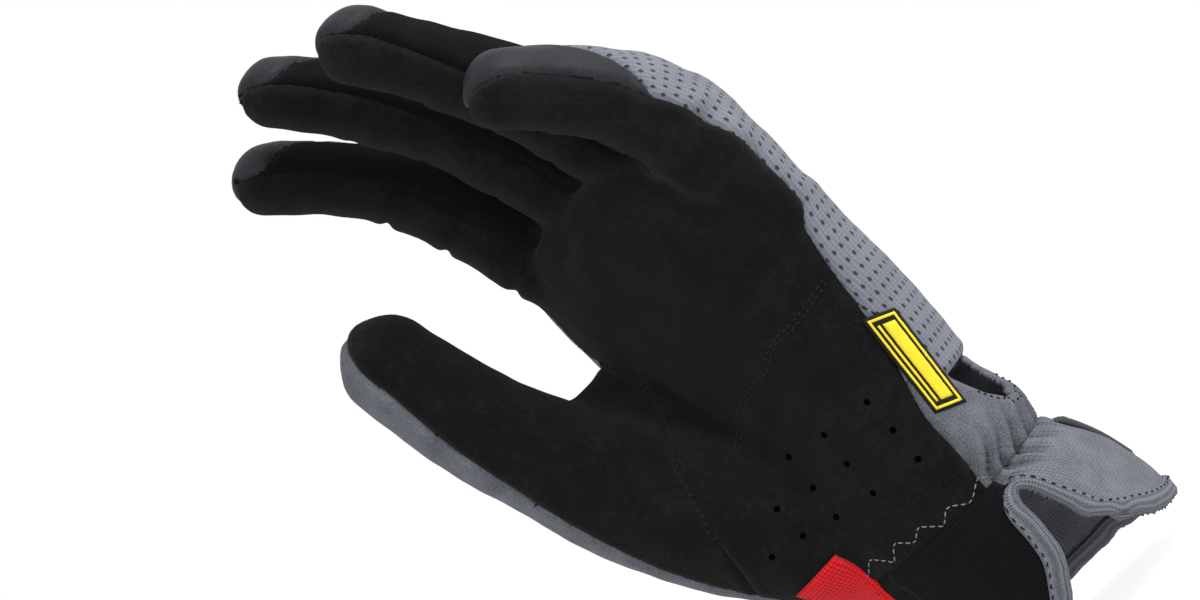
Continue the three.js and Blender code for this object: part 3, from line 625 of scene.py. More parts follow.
def blended_skin():
    """One smooth surface round cuff, palm, web, thumb and fingers."""
    heights = np.concatenate([np.arange(-8, 150, 2.0), np.arange(150, BODY_TOP + 0.1, 1.0)])
    turn = np.linspace(0, 360, 120, endpoint=False)
    body = np.stack([body_point(turn, z) for z in heights])
    forms = [body, web_rings(48), THUMB.rings(48), *[tube.rings(40) for tube in TUBES.values()]]
    mesh = raw_mesh("forms", *joined([closed_loft(rings) for rings in forms]))
    scratch = bpy.data.objects.new("forms", mesh)
    bpy.context.scene.collection.objects.link(scratch)
    remesh = scratch.modifiers.new("union", "REMESH")
    remesh.mode = "VOXEL"
    remesh.voxel_size = VOXEL * MM
    solid = scratch.evaluated_get(bpy.context.evaluated_depsgraph_get()).to_mesh()
    place = np.zeros(len(solid.vertices) * 3, np.float32)
    solid.vertices.foreach_get("co", place)
    solid.calc_loop_triangles()
    corner = np.zeros(len(solid.loop_triangles) * 3, np.int32)
    solid.loop_triangles.foreach_get("vertices", corner)
    bpy.data.objects.remove(scratch)
    return place.reshape(-1, 3).astype(float) / MM, corner.reshape(-1, 3)


def cut(points, tris, columns, column):
    """Splits every triangle that a column's zero line crosses, so that the line lies on edges."""
    value = columns[:, column]
    side = value > 0
    value[np.abs(value) < 1e-6] = 1e-6
    side = value > 0
    split = side[tris].any(1) & ~side[tris].all(1)
    keep, work = tris[~split], tris[split]
    alone = side[work].sum(1) == 1
    odd = np.where(alone[:, None], side[work], ~side[work]).argmax(1)
    rows = np.arange(len(work))
    a, b, c = work[rows, odd], work[rows, (odd + 1) % 3], work[rows, (odd + 2) % 3]
    pairs = np.sort(np.vstack([np.stack([a, b], 1), np.stack([a, c], 1)]), axis=1)
    unique, back = np.unique(pairs, axis=0, return_inverse=True)
    back = back.ravel() + len(points)
    t = value[unique[:, 0]] / (value[unique[:, 0]] - value[unique[:, 1]])
    t = t[:, None]
    points = np.vstack([points, points[unique[:, 0]] * (1 - t) + points[unique[:, 1]] * t])
    columns = np.vstack([columns, columns[unique[:, 0]] * (1 - t) + columns[unique[:, 1]] * t])
    columns[len(value):, column] = 0
    ab, ac = back[:len(work)], back[len(work):]
    tris = np.vstack([keep, np.stack([a, ab, ac], 1), np.stack([ab, b, c], 1), np.stack([ab, c, ac], 1)])
    return points, tris, columns


# Where the seams run

def hem_line(step):
    """The hem as angle and height, once round from the vent's apex."""
    angles = np.concatenate([NOTCH_ANGLE + VENT_ROWS[:, 0], HEM_ROWS[:, 0]])
    heights = np.concatenate([VENT_ROWS[:, 1] * NOTCH_HEIGHT, HEM_ROWS[:, 1]])
    angles, heights = np.append(angles, angles[0] + 360), np.append(heights, heights[0])
    run = np.concatenate([[0], np.cumsum(np.hypot(np.diff(angles) * 0.69, np.diff(heights)))])
    even = np.arange(0, run[-1], step)
    return smooth_rows(run, angles)(even), smooth_rows(run, heights)(even)


def keyhole_outline():
    angles = KEYHOLE_ANGLE + KEYHOLE_ROWS[:, 0] * KEYHOLE_SPAN
    top = CUFF_LENGTH + KEYHOLE_TOP
    heights = top - KEYHOLE_ROWS[:, 1] * KEYHOLE_DEPTH
    run = np.linspace(0, 1, len(angles))
    fine = np.linspace(0, 1, 60)
    angles, heights = smooth_rows(run, angles)(fine), smooth_rows(run, heights)(fine)
    lower = np.stack([body_arc(angles, heights), heights], 1)
    upper = np.array([[lower[-1, 0], top + 0.5], [lower[0, 0], top + 0.5]])
    return np.vstack([lower, upper])


FIELDS = ["black", "thumb_seam", "strip_0", "strip_1", "strip_2", "tip_0", "tip_1", "tip_2", "tip_3",
          "thumb_back", "wrist_panel", "keyhole", "wrist", "cuff_front", "hem"]
U, V, RELIEF = range(len(FIELDS), len(FIELDS) + 3)


class Skin:
    """The skin's points and their places on every form, which give seams, cloth and relief."""

    def __init__(self, points):
        self.points = points
        self.z = points[:, 2]
        self.turn, body_off, self.speed = body_place(points)
        self.web_side, web_off = web_place(points)
        self.thumb = THUMB.place(points)
        self.fingers = [tube.place(points) for tube in TUBES.values()]
        self.flat = np.stack([body_arc(self.turn, self.z), self.z], 1)
        self.pixels = photo_pixels(points)
        self.far = np.full(len(points), -10.0)
        offs = [body_off, web_off, self.thumb[2]] + [place[2] for place in self.fingers]
        self.near = [np.exp(-(np.maximum(off, 0) / BLEND) ** 2) for off in offs]
        self.total = sum(self.near) + 1e-9

    def mixed(self, body, web, thumb, *digits):
        """The values that the forms give, weighted by how near the skin is to each form."""
        return sum(w * f for w, f in zip(self.near, [body, web, thumb, *digits])) / self.total

    def black(self, digits):
        """Inside the suede of palm, thumb and fingers."""
        up = (self.z - CUFF_LENGTH) / PALM_LENGTH
        little, thumb_side = [np.interp(up, SIDE_SEAMS[:, 0], SIDE_SEAMS[:, k]) for k in (1, 2)]
        body = signed_arc(self.turn, thumb_side, little + 360, self.speed)
        top = smoothstep(151, 158, self.z)
        body = body * (1 - top) + (-9 - self.points[:, 1]) * top
        share, angle, _, size = self.thumb
        palm_seam, web_seam = [smooth_rows(THUMB_ROWS[:, 0], THUMB_ROWS[:, k])(share) for k in (2, 3)]
        thumb = signed_arc(angle, palm_seam, web_seam, size * DEGREE)
        web = np.maximum(self.web_side + 2, self.z - SIDE_PANEL_TOP)
        return self.mixed(body, web, thumb, *digits)

    def digits(self):
        """For each finger: inside its suede, its two side strips and its tip patch."""
        rows = []
        for (name, finger), (share, angle, _, size) in zip(FINGERS.items(), self.fingers):
            rate, length = size * DEGREE, TUBES[name].length
            seam = {side: np.interp(share, [0, 0.5, 0.93], finger[side]) for side in STRIP_BACK}
            taper = smoothstep(STRIP_STRAIGHT, STRIP_END, share)
            back = {side: turn * (1 - taper) + finger[side][2] * taper for side, turn in STRIP_BACK.items()}
            limits = [(STRIP_END - share) * length, self.z - STRIP_START]
            little = signed_arc(angle, seam["little"] - 40, back["little"], rate)
            thumb = signed_arc(angle, back["thumb"], seam["thumb"] + 40, rate)
            lean = np.abs((angle - 90 + 180) % 360 - 180) * rate
            rows.append((
                signed_arc(angle, seam["thumb"], seam["little"] + 360, rate),
                np.minimum.reduce([little, *limits]),
                np.minimum.reduce([thumb, *limits]),
                (share - 1) * length + TIP_PATCH_LENGTH - 9 + 1.1 * lean,
            ))
        return rows

    def hem(self):
        """Distance above the hem, where the skin is low enough to reach it."""
        angles, heights = hem_line(1.0)
        edge = np.stack([body_arc(angles, heights), heights], 1)
        low = self.z < 60
        flat = self.flat[low]
        gap = np.full(low.sum(), 1e9)
        for a, b in zip(edge, np.roll(edge, -1, axis=0)):
            if abs(a[0] - b[0]) < 20:
                gap = np.minimum(gap, line_distance(flat, np.array([a, b])))
        ring = (angles + 90) % 360
        order = np.argsort(ring)
        floor = np.interp((self.turn[low] + 90) % 360, ring[order], heights[order], period=360)
        hem = np.full(len(self.z), 10.0)
        hem[low] = gap * np.where(flat[:, 1] > floor, 1, -1)
        return hem

    def seams(self):
        """Distances from every seam, positive inside the piece that it bounds."""
        z, turn, speed, far = self.z, self.turn, self.speed, self.far
        digits = self.digits()
        fields = {"black": self.black([digit[0] for digit in digits])}
        knuckles = [tube.line[30][0] for tube in TUBES.values()]
        for gap in range(3):
            sides = [np.full(len(z), -6.0)] * 4
            sides[gap], sides[gap + 1] = digits[gap][1], digits[gap + 1][2]
            aside = np.abs(self.points[:, 0] - (knuckles[gap] + knuckles[gap + 1]) / 2)
            floor = np.minimum(z - CROTCH_HEIGHT - 0.06 * aside ** 2, CROTCH_REACH - aside)
            fields[f"strip_{gap}"] = self.mixed(floor, far, far, *sides)
        for number in range(4):
            tips = [far] * 4
            tips[number] = digits[number][3]
            fields[f"tip_{number}"] = self.mixed(far, far, far, *tips)
        side = np.minimum(signed_arc(turn, WRIST_END, 260.0, speed), SIDE_PANEL_TOP - z)
        fields["thumb_back"] = self.mixed(side, -far, -far, *[far] * 4)
        rise = WRIST_SIDE_RISE * np.clip((-7 - turn) / 24, 0, 1)
        wrist_top = CUFF_LENGTH + KEYHOLE_TOP + np.where(turn < 100, rise, 0)
        panel = np.minimum(signed_arc(turn, -60.0, WRIST_END, speed), wrist_top - z)
        fields["wrist_panel"] = self.mixed(panel, far, far, *[far] * 4)
        by_keyhole = (np.abs(z - 58) < 20) & (np.abs(turn - KEYHOLE_ANGLE) < 70)
        fields["keyhole"] = np.where(by_keyhole, polygon_field(self.flat, keyhole_outline()), -10)
        start, end = SIDE_SEAMS[0, 2], SIDE_SEAMS[0, 1] + 360
        share = (((turn + 90) % 360 - 90 + 360) % 360 - start) / (end - start)
        slope = SEAM_RISE * (1 - np.clip(share, 0, 1))
        fields["wrist"] = CUFF_LENGTH + np.where((share > 0) & (share < 1), slope, 0) - z
        fields["cuff_front"] = signed_arc(turn, start, NOTCH_ANGLE + 360, speed)
        fields["hem"] = self.hem()
        fields["thumb_seam"] = polygon_field(self.pixels, THUMB_SEAM) * PX
        return fields

    def cloth(self):
        """Millimetres across and along the cloth."""
        across, along = [], []
        for number, tube in enumerate([THUMB, *TUBES.values()]):
            share, angle, _, size = [self.thumb, *self.fingers][number]
            u = ((angle + (270 if tube is THUMB else 90)) % 360 - 180) * (size * DEGREE)
            v = share * tube.length
            shared = (self.near[2 + number] > 0.6) & (self.near[0] > 0.6)
            if shared.any():
                u = u + np.median(self.flat[shared, 0] - u[shared])
                v = v + np.median(self.z[shared] - v[shared])
            across.append(u)
            along.append(v)
        arc = self.flat[:, 0]
        return self.mixed(arc, arc, *across), self.mixed(self.z, self.z, *along)

    def relief(self):
        """How far the skin stands out or in: creases, folds and soft unevenness."""
        out = 0.35 * ripple(self.points, 14, 3) + 0.12 * ripple(self.points, 5, 4)
        facing = smoothstep(6, -4, (self.points - np.array([-5, 0, 0])) @ VIEW_WAY)
        for number, (tube, (share, angle, _, _)) in enumerate(zip(TUBES.values(), self.fingers)):
            owner = self.near[3 + number] / self.total
            palm_side = smoothstep(10, -60, angle) * smoothstep(-190, -120, angle)
            palm_side = palm_side + smoothstep(170, 180, angle)
            facing = facing * (1 - owner * smoothstep(15, 40, angle) * smoothstep(165, 140, angle))
            kind = "index" if number == 0 else "other"
            for crease in CREASE_SHARES[kind]:
                wobble = 0.006 * np.sin(np.radians(angle) * 2 + number + crease * 20)
                gap = (share - crease - wobble) * tube.length
                dent = np.exp(-(gap / 1.3) ** 2) - 0.3 * np.exp(-((np.abs(gap) - 3) / 2) ** 2)
                out -= owner * palm_side * CREASE_DEPTHS[kind] * dent
        for line, depth, width in CREASES:
            gap = line_distance(self.pixels, smooth_line(line)) * PX
            dent = np.exp(-(gap / width) ** 2) - 0.35 * np.exp(-((gap - 1.8 * width) / width) ** 2)
            out -= facing * depth * dent
        return out + self.gathers()

    def gathers(self):
        """Folds at the wrist that run up and down, deepest at the elastic."""
        turn, around, above = self.turn, self.flat[:, 0], self.z - CUFF_LENGTH
        strength = smoothstep(-40, -20, turn) * smoothstep(205, 180, turn) + smoothstep(-150, -165, turn)
        strength = np.clip(strength, 0, 1) * np.exp(-(above / np.where(above > 0, 8.5, 4.5)) ** 2)
        drift = 1.4 * np.sin(around * 0.21) + 0.06 * above
        fold = np.sin((around + drift) * 2 * math.pi / FOLD_PERIOD)
        wide = np.exp(-(above / 16) ** 2) * 0.5 * np.sin(around * 2 * math.pi / 9.5 + 1)
        return strength * (1.7 * fold - 0.6 * fold ** 2 + wide)

    def columns(self):
        """The seams, cloth coordinates and relief of every point, side by side."""
        fields = self.seams()
        calm = smoothstep(2, 9, np.abs(fields["hem"]))
        return np.stack([*[fields[name] for name in FIELDS], *self.cloth(), self.relief() * calm], 1)


PANELS = ["palm_panel", "thumb_front", "side_strip_index_middle", "side_strip_middle_ring",
          "side_strip_ring_pinky", "tip_index", "tip_middle", "tip_ring", "tip_pinky", "thumb_back",
          "wrist_panel", "back_panel", "cuff_palm", "cuff_back"]


def panel_numbers(columns, tris):
    """Which panel each triangle belongs to, or -1 where the glove is open."""
    middle = {name: columns[tris, k].mean(1) for k, name in enumerate(FIELDS)}
    panel = np.full(len(tris), PANELS.index("back_panel"))
    panel[middle["wrist_panel"] > 0] = PANELS.index("wrist_panel")
    panel[middle["thumb_back"] > 0] = PANELS.index("thumb_back")
    for number in range(4):
        panel[middle[f"tip_{number}"] > 0] = PANELS.index("tip_index") + number
    for gap in range(3):
        panel[middle[f"strip_{gap}"] > 0] = PANELS.index("side_strip_index_middle") + gap
    panel[middle["black"] > 0] = PANELS.index("palm_panel")
    panel[(middle["black"] > 0) & (middle["thumb_seam"] > 0)] = PANELS.index("thumb_front")
    panel[middle["keyhole"] > 0] = -1
    cuff = middle["wrist"] > 0
    panel[cuff & (middle["cuff_front"] > 0)] = PANELS.index("cuff_palm")
    panel[cuff & (middle["cuff_front"] <= 0)] = PANELS.index("cuff_back")
    panel[middle["hem"] < 0] = -1
    return panel


def border_points(tris, panel):
    """Points where triangles of two panels, or of a panel and an opening, meet."""
    low, high = np.full(tris.max() + 1, 99), np.full(tris.max() + 1, -99)
    for i in range(3):
        np.minimum.at(low, tris[:, i], panel)
        np.maximum.at(high, tris[:, i], panel)
    return np.nonzero((low != high) & (high >= 0))[0]


def distance_from(points, some):
    tree = KDTree(len(some))
    for number, place in enumerate(some):
        tree.insert(place, number)
    tree.balance()
    return np.array([tree.find(place)[2] for place in points])


def thick_panel(points, tris, normals, wall):
    """A sheet's outer side, its inner side, and the walls along its borders."""
    used, local = np.unique(tris, return_inverse=True)
    tris = local.reshape(-1, 3)
    outer = points[used]
    inner = outer - normals[used] * wall
    return np.vstack([outer, inner]), closed_sheet(tris, len(used)), used


# Materials

def colour(r, g, b):
    """A linear colour from 8-bit screen values."""
    parts = [c / 255 for c in (r, g, b)]
    return [c / 12.92 if c <= 0.04045 else ((c + 0.055) / 1.055) ** 2.4 for c in parts] + [1]


class Cloth:
    """A material whose colour and bump come from a few chained nodes."""

    def __init__(self, name, roughness, sheen=0.0, sheen_tint=(1, 1, 1, 1), specular=0.3):
        self.material = bpy.data.materials.new(name)
        self.material.use_nodes = True
        self.nodes = self.material.node_tree.nodes
        self.links = self.material.node_tree.links
        self.shader = self.nodes["Principled BSDF"]
        self.set("Roughness", roughness)
        self.set("Specular IOR Level", specular)
        self.set("Sheen Weight", sheen)
        self.set("Sheen Roughness", 0.5)
        self.set("Sheen Tint", sheen_tint)

    def set(self, socket, value):
        self.shader.inputs[socket].default_value = value

    def plug(self, value, socket):
        if isinstance(value, bpy.types.NodeSocket):
            self.links.new(value, socket)
        else:
            socket.default_value = value

    def math(self, operation, a, b=0.0, c=0.0):
        node = self.nodes.new("ShaderNodeMath")
        node.operation = operation
        for socket, value in zip(node.inputs, (a, b, c)):
            self.plug(value, socket)
        return node.outputs[0]

    def cloth_uv(self):
        node = self.nodes.new("ShaderNodeUVMap")
        node.uv_map = "Cloth"
        return node.outputs[0]

    def place(self):
        """Object coordinates in millimetres."""
        coordinates = self.nodes.new("ShaderNodeTexCoord")
        scale = self.nodes.new("ShaderNodeVectorMath")
        scale.operation = "SCALE"
        self.links.new(coordinates.outputs["Object"], scale.inputs[0])
        scale.inputs["Scale"].default_value = 1000
        return scale.outputs[0]

    def parts(self, vector):
        node = self.nodes.new("ShaderNodeSeparateXYZ")
        self.links.new(vector, node.inputs[0])
        return node.outputs[0], node.outputs[1]

    def noise(self, vector, size, detail=2.0):
        node = self.nodes.new("ShaderNodeTexNoise")
        self.links.new(vector, node.inputs["Vector"])
        node.inputs["Scale"].default_value = 1 / size
        node.inputs["Detail"].default_value = detail
        return node.outputs[0]

    def wave(self, along, period, shift=0.0):
        """A smooth ridge pattern of 0 to 1 with a period in millimetres."""
        turn = self.math("MULTIPLY_ADD", along, 2 * math.pi / period, shift)
        return self.math("MULTIPLY_ADD", self.math("SINE", turn), 0.5, 0.5)

    def total(self, *parts):
        """The weighted sum of (value, weight) pairs."""
        result = 0.0
        for value, weight in parts:
            result = self.math("MULTIPLY_ADD", value, weight, result)
        return result

    def colours(self, factor, stops):
        node = self.nodes.new("ShaderNodeValToRGB")
        self.plug(factor, node.inputs[0])
        ramp = node.color_ramp
        while len(ramp.elements) < len(stops):
            ramp.elements.new(0.5)
        for element, (place, tone) in zip(ramp.elements, stops):
            element.position = place
            element.color = tone
        self.links.new(node.outputs[0], self.shader.inputs["Base Color"])

    def bump(self, height, millimetres):
        node = self.nodes.new("ShaderNodeBump")
        node.inputs["Strength"].default_value = 1
        node.inputs["Distance"].default_value = millimetres * MM
        self.links.new(height, node.inputs["Height"])
        self.links.new(node.outputs[0], self.shader.inputs["Normal"])


def suede_material():
    cloth = Cloth("suede", 1.0, sheen=0.08, sheen_tint=colour(190, 185, 175), specular=0.02)
    place = cloth.place()
    nap = cloth.noise(place, 0.35, 4)
    patch = cloth.noise(place, 9, 3)
    fleck = cloth.noise(place, 1.4, 3)
    cloth.colours(cloth.total((nap, 0.4), (patch, 0.4), (fleck, 0.3)),
                  [(0.3, colour(11, 11, 12)), (0.55, colour(17, 17, 18)), (0.8, colour(29, 29, 29))])
    cloth.bump(cloth.total((nap, 1), (fleck, 0.6)), 0.35)
    return cloth.material


def twill_material():
    cloth = Cloth("twill", 1.0, sheen=0.05, sheen_tint=colour(170, 170, 170), specular=0.03)
    u, v = cloth.parts(cloth.cloth_uv())
    lean = cloth.wave(cloth.math("ADD", u, v), 1.1)
    yarn = cloth.wave(cloth.math("SUBTRACT", u, v), 0.8)
    weave = cloth.total((lean, 0.6), (yarn, 0.4))
    cloth.colours(cloth.total((weave, 0.7), (cloth.noise(cloth.place(), 6), 0.3)),
                  [(0.2, colour(9, 9, 10)), (0.6, colour(14, 14, 15)), (1, colour(25, 25, 26))])
    cloth.bump(weave, 0.22)
    return cloth.material


def mesh_material():
    """Grey knit with fine ribs along the hand and staggered pits darkened with painted shade."""
    cloth = Cloth("mesh_knit", 0.85, sheen=0.05, specular=0.2)
    u, v = cloth.parts(cloth.cloth_uv())
    rib = cloth.wave(u, 1.2)
    loop = cloth.wave(v, 0.9)
    row = cloth.math("FLOOR", cloth.math("DIVIDE", cloth.math("ADD", v, 1.7), 3.4))
    shift = cloth.math("MULTIPLY", cloth.math("MODULO", row, 2.0), 1.2)
    across = cloth.math("PINGPONG", cloth.math("ADD", u, shift), 1.2)
    along = cloth.math("PINGPONG", v, 1.7)
    gap = cloth.math("SQRT", cloth.math("ADD", cloth.math("POWER", across, 2.0),
                                        cloth.math("POWER", cloth.math("MULTIPLY", along, 0.6), 2.0)))
    painted_hole_shade = cloth.nodes.new("ShaderNodeMapRange")
    painted_hole_shade.interpolation_type = "SMOOTHSTEP"
    cloth.links.new(gap, painted_hole_shade.inputs["Value"])
    for socket, value in zip(("From Min", "From Max", "To Min", "To Max"), (0.15, 0.55, 0.0, 1.0)):
        painted_hole_shade.inputs[socket].default_value = value
    clear_of_hole_shade = painted_hole_shade.outputs[0]
    yarn = cloth.total((rib, 0.35), (loop, 0.2), (cloth.noise(cloth.place(), 0.5), 0.45))
    yarn_tone = cloth.total((yarn, 0.4), (cloth.noise(cloth.place(), 12), 0.25), (0.4, 1))
    # Darkening the pits is painted shade of the knit's holes; the bump below also dents them.
    tone = cloth.math("MULTIPLY", clear_of_hole_shade, yarn_tone)
    cloth.colours(tone, [(0, colour(34, 36, 40)), (0.45, colour(72, 75, 82)), (0.9, colour(106, 109, 118))])
    cloth.bump(cloth.total((yarn, 0.35), (clear_of_hole_shade, 0.8)), 0.45)
    return cloth.material


def knit_material(name, dark, light, rib, loop, grain):
    """Plain knit. rib and loop are the sizes of its columns and rows, grain the share of fuzz."""
    cloth = Cloth(name, 0.9, sheen=0.05, specular=0.1)
    u, v = cloth.parts(cloth.cloth_uv())
    fuzz = cloth.noise(cloth.place(), 0.45, 3)
    weave = 1 - grain
    rows, columns = cloth.wave(u, rib), cloth.wave(v, loop)
    yarn = cloth.total((rows, 0.55 * weave), (columns, 0.45 * weave), (fuzz, grain))
    tone = cloth.total((yarn, 0.6), (cloth.noise(cloth.place(), 10), 0.4))
    cloth.colours(tone, [(0.25, dark), (0.75, light)])
    cloth.bump(yarn, 0.28)
    return cloth.material


def tape_material(name, dark, light, along, across, height, specular=0.12):
    """Woven tape. along and across are the sizes of its weave in the two directions."""
    cloth = Cloth(name, 0.8, sheen=0.05, specular=specular)
    u, v = cloth.parts(cloth.cloth_uv())
    fuzz = cloth.noise(cloth.place(), 0.4, 3)
    weave = cloth.total((cloth.wave(u, along), 0.2), (cloth.wave(v, across), 0.25), (fuzz, 0.55))
    cloth.colours(weave, [(0.25, dark), (0.75, light)])
    cloth.bump(weave, height)
    return cloth.material


def leather_material():
    cloth = Cloth("smooth_leather", 0.5, specular=0.12)
    place = cloth.place()
    grain = cloth.noise(place, 0.7, 4)
    cloth.colours(cloth.total((grain, 0.5), (cloth.noise(place, 8), 0.5)),
                  [(0.3, colour(24, 25, 28)), (0.75, colour(38, 39, 43))])
    cloth.bump(grain, 0.2)
    return cloth.material


def plain_material(name, tone, roughness, grain=0.3, height=0.08, specular=0.1):
    cloth = Cloth(name, roughness, specular=specular)
    spots = cloth.noise(cloth.place(), grain, 3)
    dark = [c * 0.7 for c in tone[:3]] + [1]
    cloth.colours(spots, [(0.3, dark), (0.7, tone)])
    cloth.bump(spots, height)
    return cloth.material


SUEDE = suede_material()
TWILL = twill_material()
MESH_KNIT = mesh_material()
SIDE_KNIT = knit_material("side_knit", colour(44, 46, 51), colour(104, 106, 114), 0.9, 0.75, 0.85)
CUFF_KNIT = knit_material("cuff_knit", colour(50, 52, 57), colour(112, 114, 122), 1.05, 0.85, 0.75)
CUFF_TWILL = tape_material("cuff_twill", colour(6, 6, 7), colour(18, 18, 20), 1.0, 0.9, 0.15, 0.02)
LEATHER = leather_material()
TAPE = tape_material("binding_tape", colour(52, 54, 59), colour(106, 108, 116), 0.6, 1.15, 0.2)
RED_WEB = tape_material("red_webbing", colour(120, 6, 12), colour(204, 22, 32), 0.9, 0.9, 0.3)
LABEL_BLACK = plain_material("label_black", colour(24, 24, 22), 0.7)
LABEL_YELLOW = plain_material("label_yellow", colour(216, 194, 30), 0.6, height=0.04, specular=0.3)
PATCH = plain_material("patch_rubber", colour(34, 35, 38), 0.55, specular=0.3)
DARK_THREAD = plain_material("dark_thread", colour(24, 24, 26), 0.8)
PALM_THREAD = plain_material("palm_thread", colour(36, 36, 38), 0.9)
GREY_THREAD = plain_material("grey_thread", colour(112, 116, 120), 0.9)
# Near black with no specular: painted shade that stands for the dark inside of the palm's punched holes.
PAINTED_HOLE_SHADE = plain_material("painted_hole_shade", colour(3, 3, 4), 1.0, specular=0.0)
RED_THREAD = plain_material("red_thread", colour(150, 12, 22), 0.8)

PANEL_CLOTH = {
    "palm_panel": (SUEDE, "suede"), "thumb_front": (SUEDE, "suede"), "cuff_palm": (CUFF_TWILL, "twill"),
    "thumb_back": (SIDE_KNIT, "knit"), "wrist_panel": (SIDE_KNIT, "knit"),
    "back_panel": (MESH_KNIT, "knit"), "cuff_back": (CUFF_KNIT, "knit"),
    **{name: (TWILL, "twill") for name in PANELS if name.startswith("side_strip")},
    **{name: (LEATHER, "leather") for name in PANELS if name.startswith("tip_")},
}


# The skin and its panels

def make_skin():
    """The whole skin, split along every seam, with its relief, and the panel of each triangle."""
    points, tris = blended_skin()
    points = relaxed(points, tris, 4, 0.5)
    crowd = np.clip(Skin(points).total - 1, 0, 1)[:, None]
    points = relaxed(points, tris, 40, 0.5 * crowd)
    points = relaxed(points, tris, 4, 0.35)
    columns = Skin(points).columns()
    for column in range(len(FIELDS)):
        points, tris, columns = cut(points, tris, columns, column)
    panel = panel_numbers(columns, tris)
    base = BVHTree.FromPolygons(points.tolist(), tris.tolist())
    away = distance_from(points, points[border_points(tris, panel)])
    seam = 0.25 * np.exp(-((away - 2.4) / 1.4) ** 2) - 0.75 * np.exp(-(away / 0.75) ** 2)
    normals = vertex_normals(points, tris)
    points = points + normals * (columns[:, RELIEF] + seam)[:, None]
    return points, tris, columns, panel, base


SKIN_POINTS, SKIN_TRIS, SKIN_COLUMNS, SKIN_PANEL, BASE_TREE = make_skin()
SKIN_NORMALS = vertex_normals(SKIN_POINTS, SKIN_TRIS)
SKIN_TREE = BVHTree.FromPolygons(SKIN_POINTS.tolist(), SKIN_TRIS.tolist())


def make_panels():
    for number, name in enumerate(PANELS):
        material, slot = PANEL_CLOTH[name]
        tris = SKIN_TRIS[SKIN_PANEL == number]
        points, faces, used = thick_panel(SKIN_POINTS, tris, SKIN_NORMALS, WALL - 0.2)
        uv = np.tile(SKIN_COLUMNS[used][:, [U, V]], (2, 1))
        piece = add_piece("cloth_" + name, points, faces, material, [name], uv)


make_panels()


# Trim that lies on the skin

def skin_place(point, lift=0.0):
    """The nearest point of the skin, lifted off it, and the direction away from it."""
    place, normal, _, _ = SKIN_TREE.find_nearest(Vector(point))
    return np.array(place) + np.array(normal) * lift, np.array(normal)


def seen_place(pixel):
    """The point of the skin that shows at a pixel of the photograph."""
    right = (pixel[0] - PHOTO_SIZE[0] / 2) / VIEW_FOCUS
    up = (PHOTO_SIZE[1] / 2 - pixel[1]) / VIEW_FOCUS
    way = unit(VIEW_WAY + VIEW_RIGHT * right + VIEW_UP * up)
    place = SKIN_TREE.ray_cast(Vector(VIEW_PLACE), Vector(way))[0]
    return None if place is None else np.array(place)


def even_path(points, step):
    points = np.array(points, float)
    run = path_run(points)
    even = np.linspace(0, run[-1], max(int(run[-1] / step), 2) + 1)
    return np.stack([np.interp(even, run, points[:, i]) for i in range(3)], 1)


def seen_path(pixels, rounded=True):
    """A line of the photograph, laid on the skin."""
    pixels = smooth_line(pixels, 60) if rounded else np.array(even_pixels(pixels))
    return [place for place in map(seen_place, pixels) if place is not None]


def even_pixels(pixels):
    fine = []
    for a, b in zip(pixels[:-1], pixels[1:]):
        fine += [np.array(a) * (1 - t) + np.array(b) * t for t in np.linspace(0, 1, 8, endpoint=False)]
    return fine + [np.array(pixels[-1], float)]


STITCH_SIDES = 6


def stitch(a, b, radius, lift):
    """One stitch from a to b: a small rounded thread that dips into the cloth at both ends."""
    rings = []
    way = unit(b - a)
    for t in np.linspace(0, 1, 6):
        arch = math.sin(math.pi * t)
        place, normal = skin_place(a * (1 - t) + b * t, lift + radius * (1.6 * arch - 1.1))
        side = unit(np.cross(way, normal))
        out = np.cross(side, way)
        right, up = turned(np.linspace(0, 360, STITCH_SIDES, endpoint=False))
        size = radius * (0.55 + 0.45 * arch)
        rings.append(place + (right[:, None] * side + up[:, None] * out) * size)
    return closed_loft(np.array(rings))


def stitch_row(name, paths, material, length, gap, radius, lift=0.05):
    step, thread = int((length + gap) / 0.2), int(length / 0.2)
    parts = []
    for path in paths:
        even = even_path(path, 0.2)
        for start in range(0, len(even) - thread, step):
            parts.append(stitch(even[start], even[start + thread], radius, lift))
    add_piece(name, *joined(parts), material)


def shifted(path, by):
    """A path on the skin moved sideways along it."""
    path = np.array(path)
    ways = unit(np.gradient(path, axis=0))
    result = []
    for place, way in zip(path, ways):
        _, normal = skin_place(place)
        result.append(skin_place(place + np.cross(normal, way) * by)[0])
    return result


class Seat:
    """A flat patch's place on the skin: a plane outside it, from which points are cast onto it."""

    def __init__(self, angle, height):
        self.middle = body_point(angle, height)
        _, _, half, palm, back = body_section(height)
        right, out = turned(angle)
        self.out = unit(np.array([right / half, out / (palm if out < 0 else back), 0.0]))
        self.right = np.cross((0, 0, 1), self.out)

    def place(self, x, y, lift=0.0):
        start = self.middle + self.right * x + np.array([0, 0, y]) + self.out * 30
        place, normal, _, _ = BASE_TREE.ray_cast(Vector(start), Vector(-self.out))
        if place is None:
            return skin_place(start - self.out * 30, lift)[0]
        return np.array(place) + np.array(normal) * (lift + 0.25)


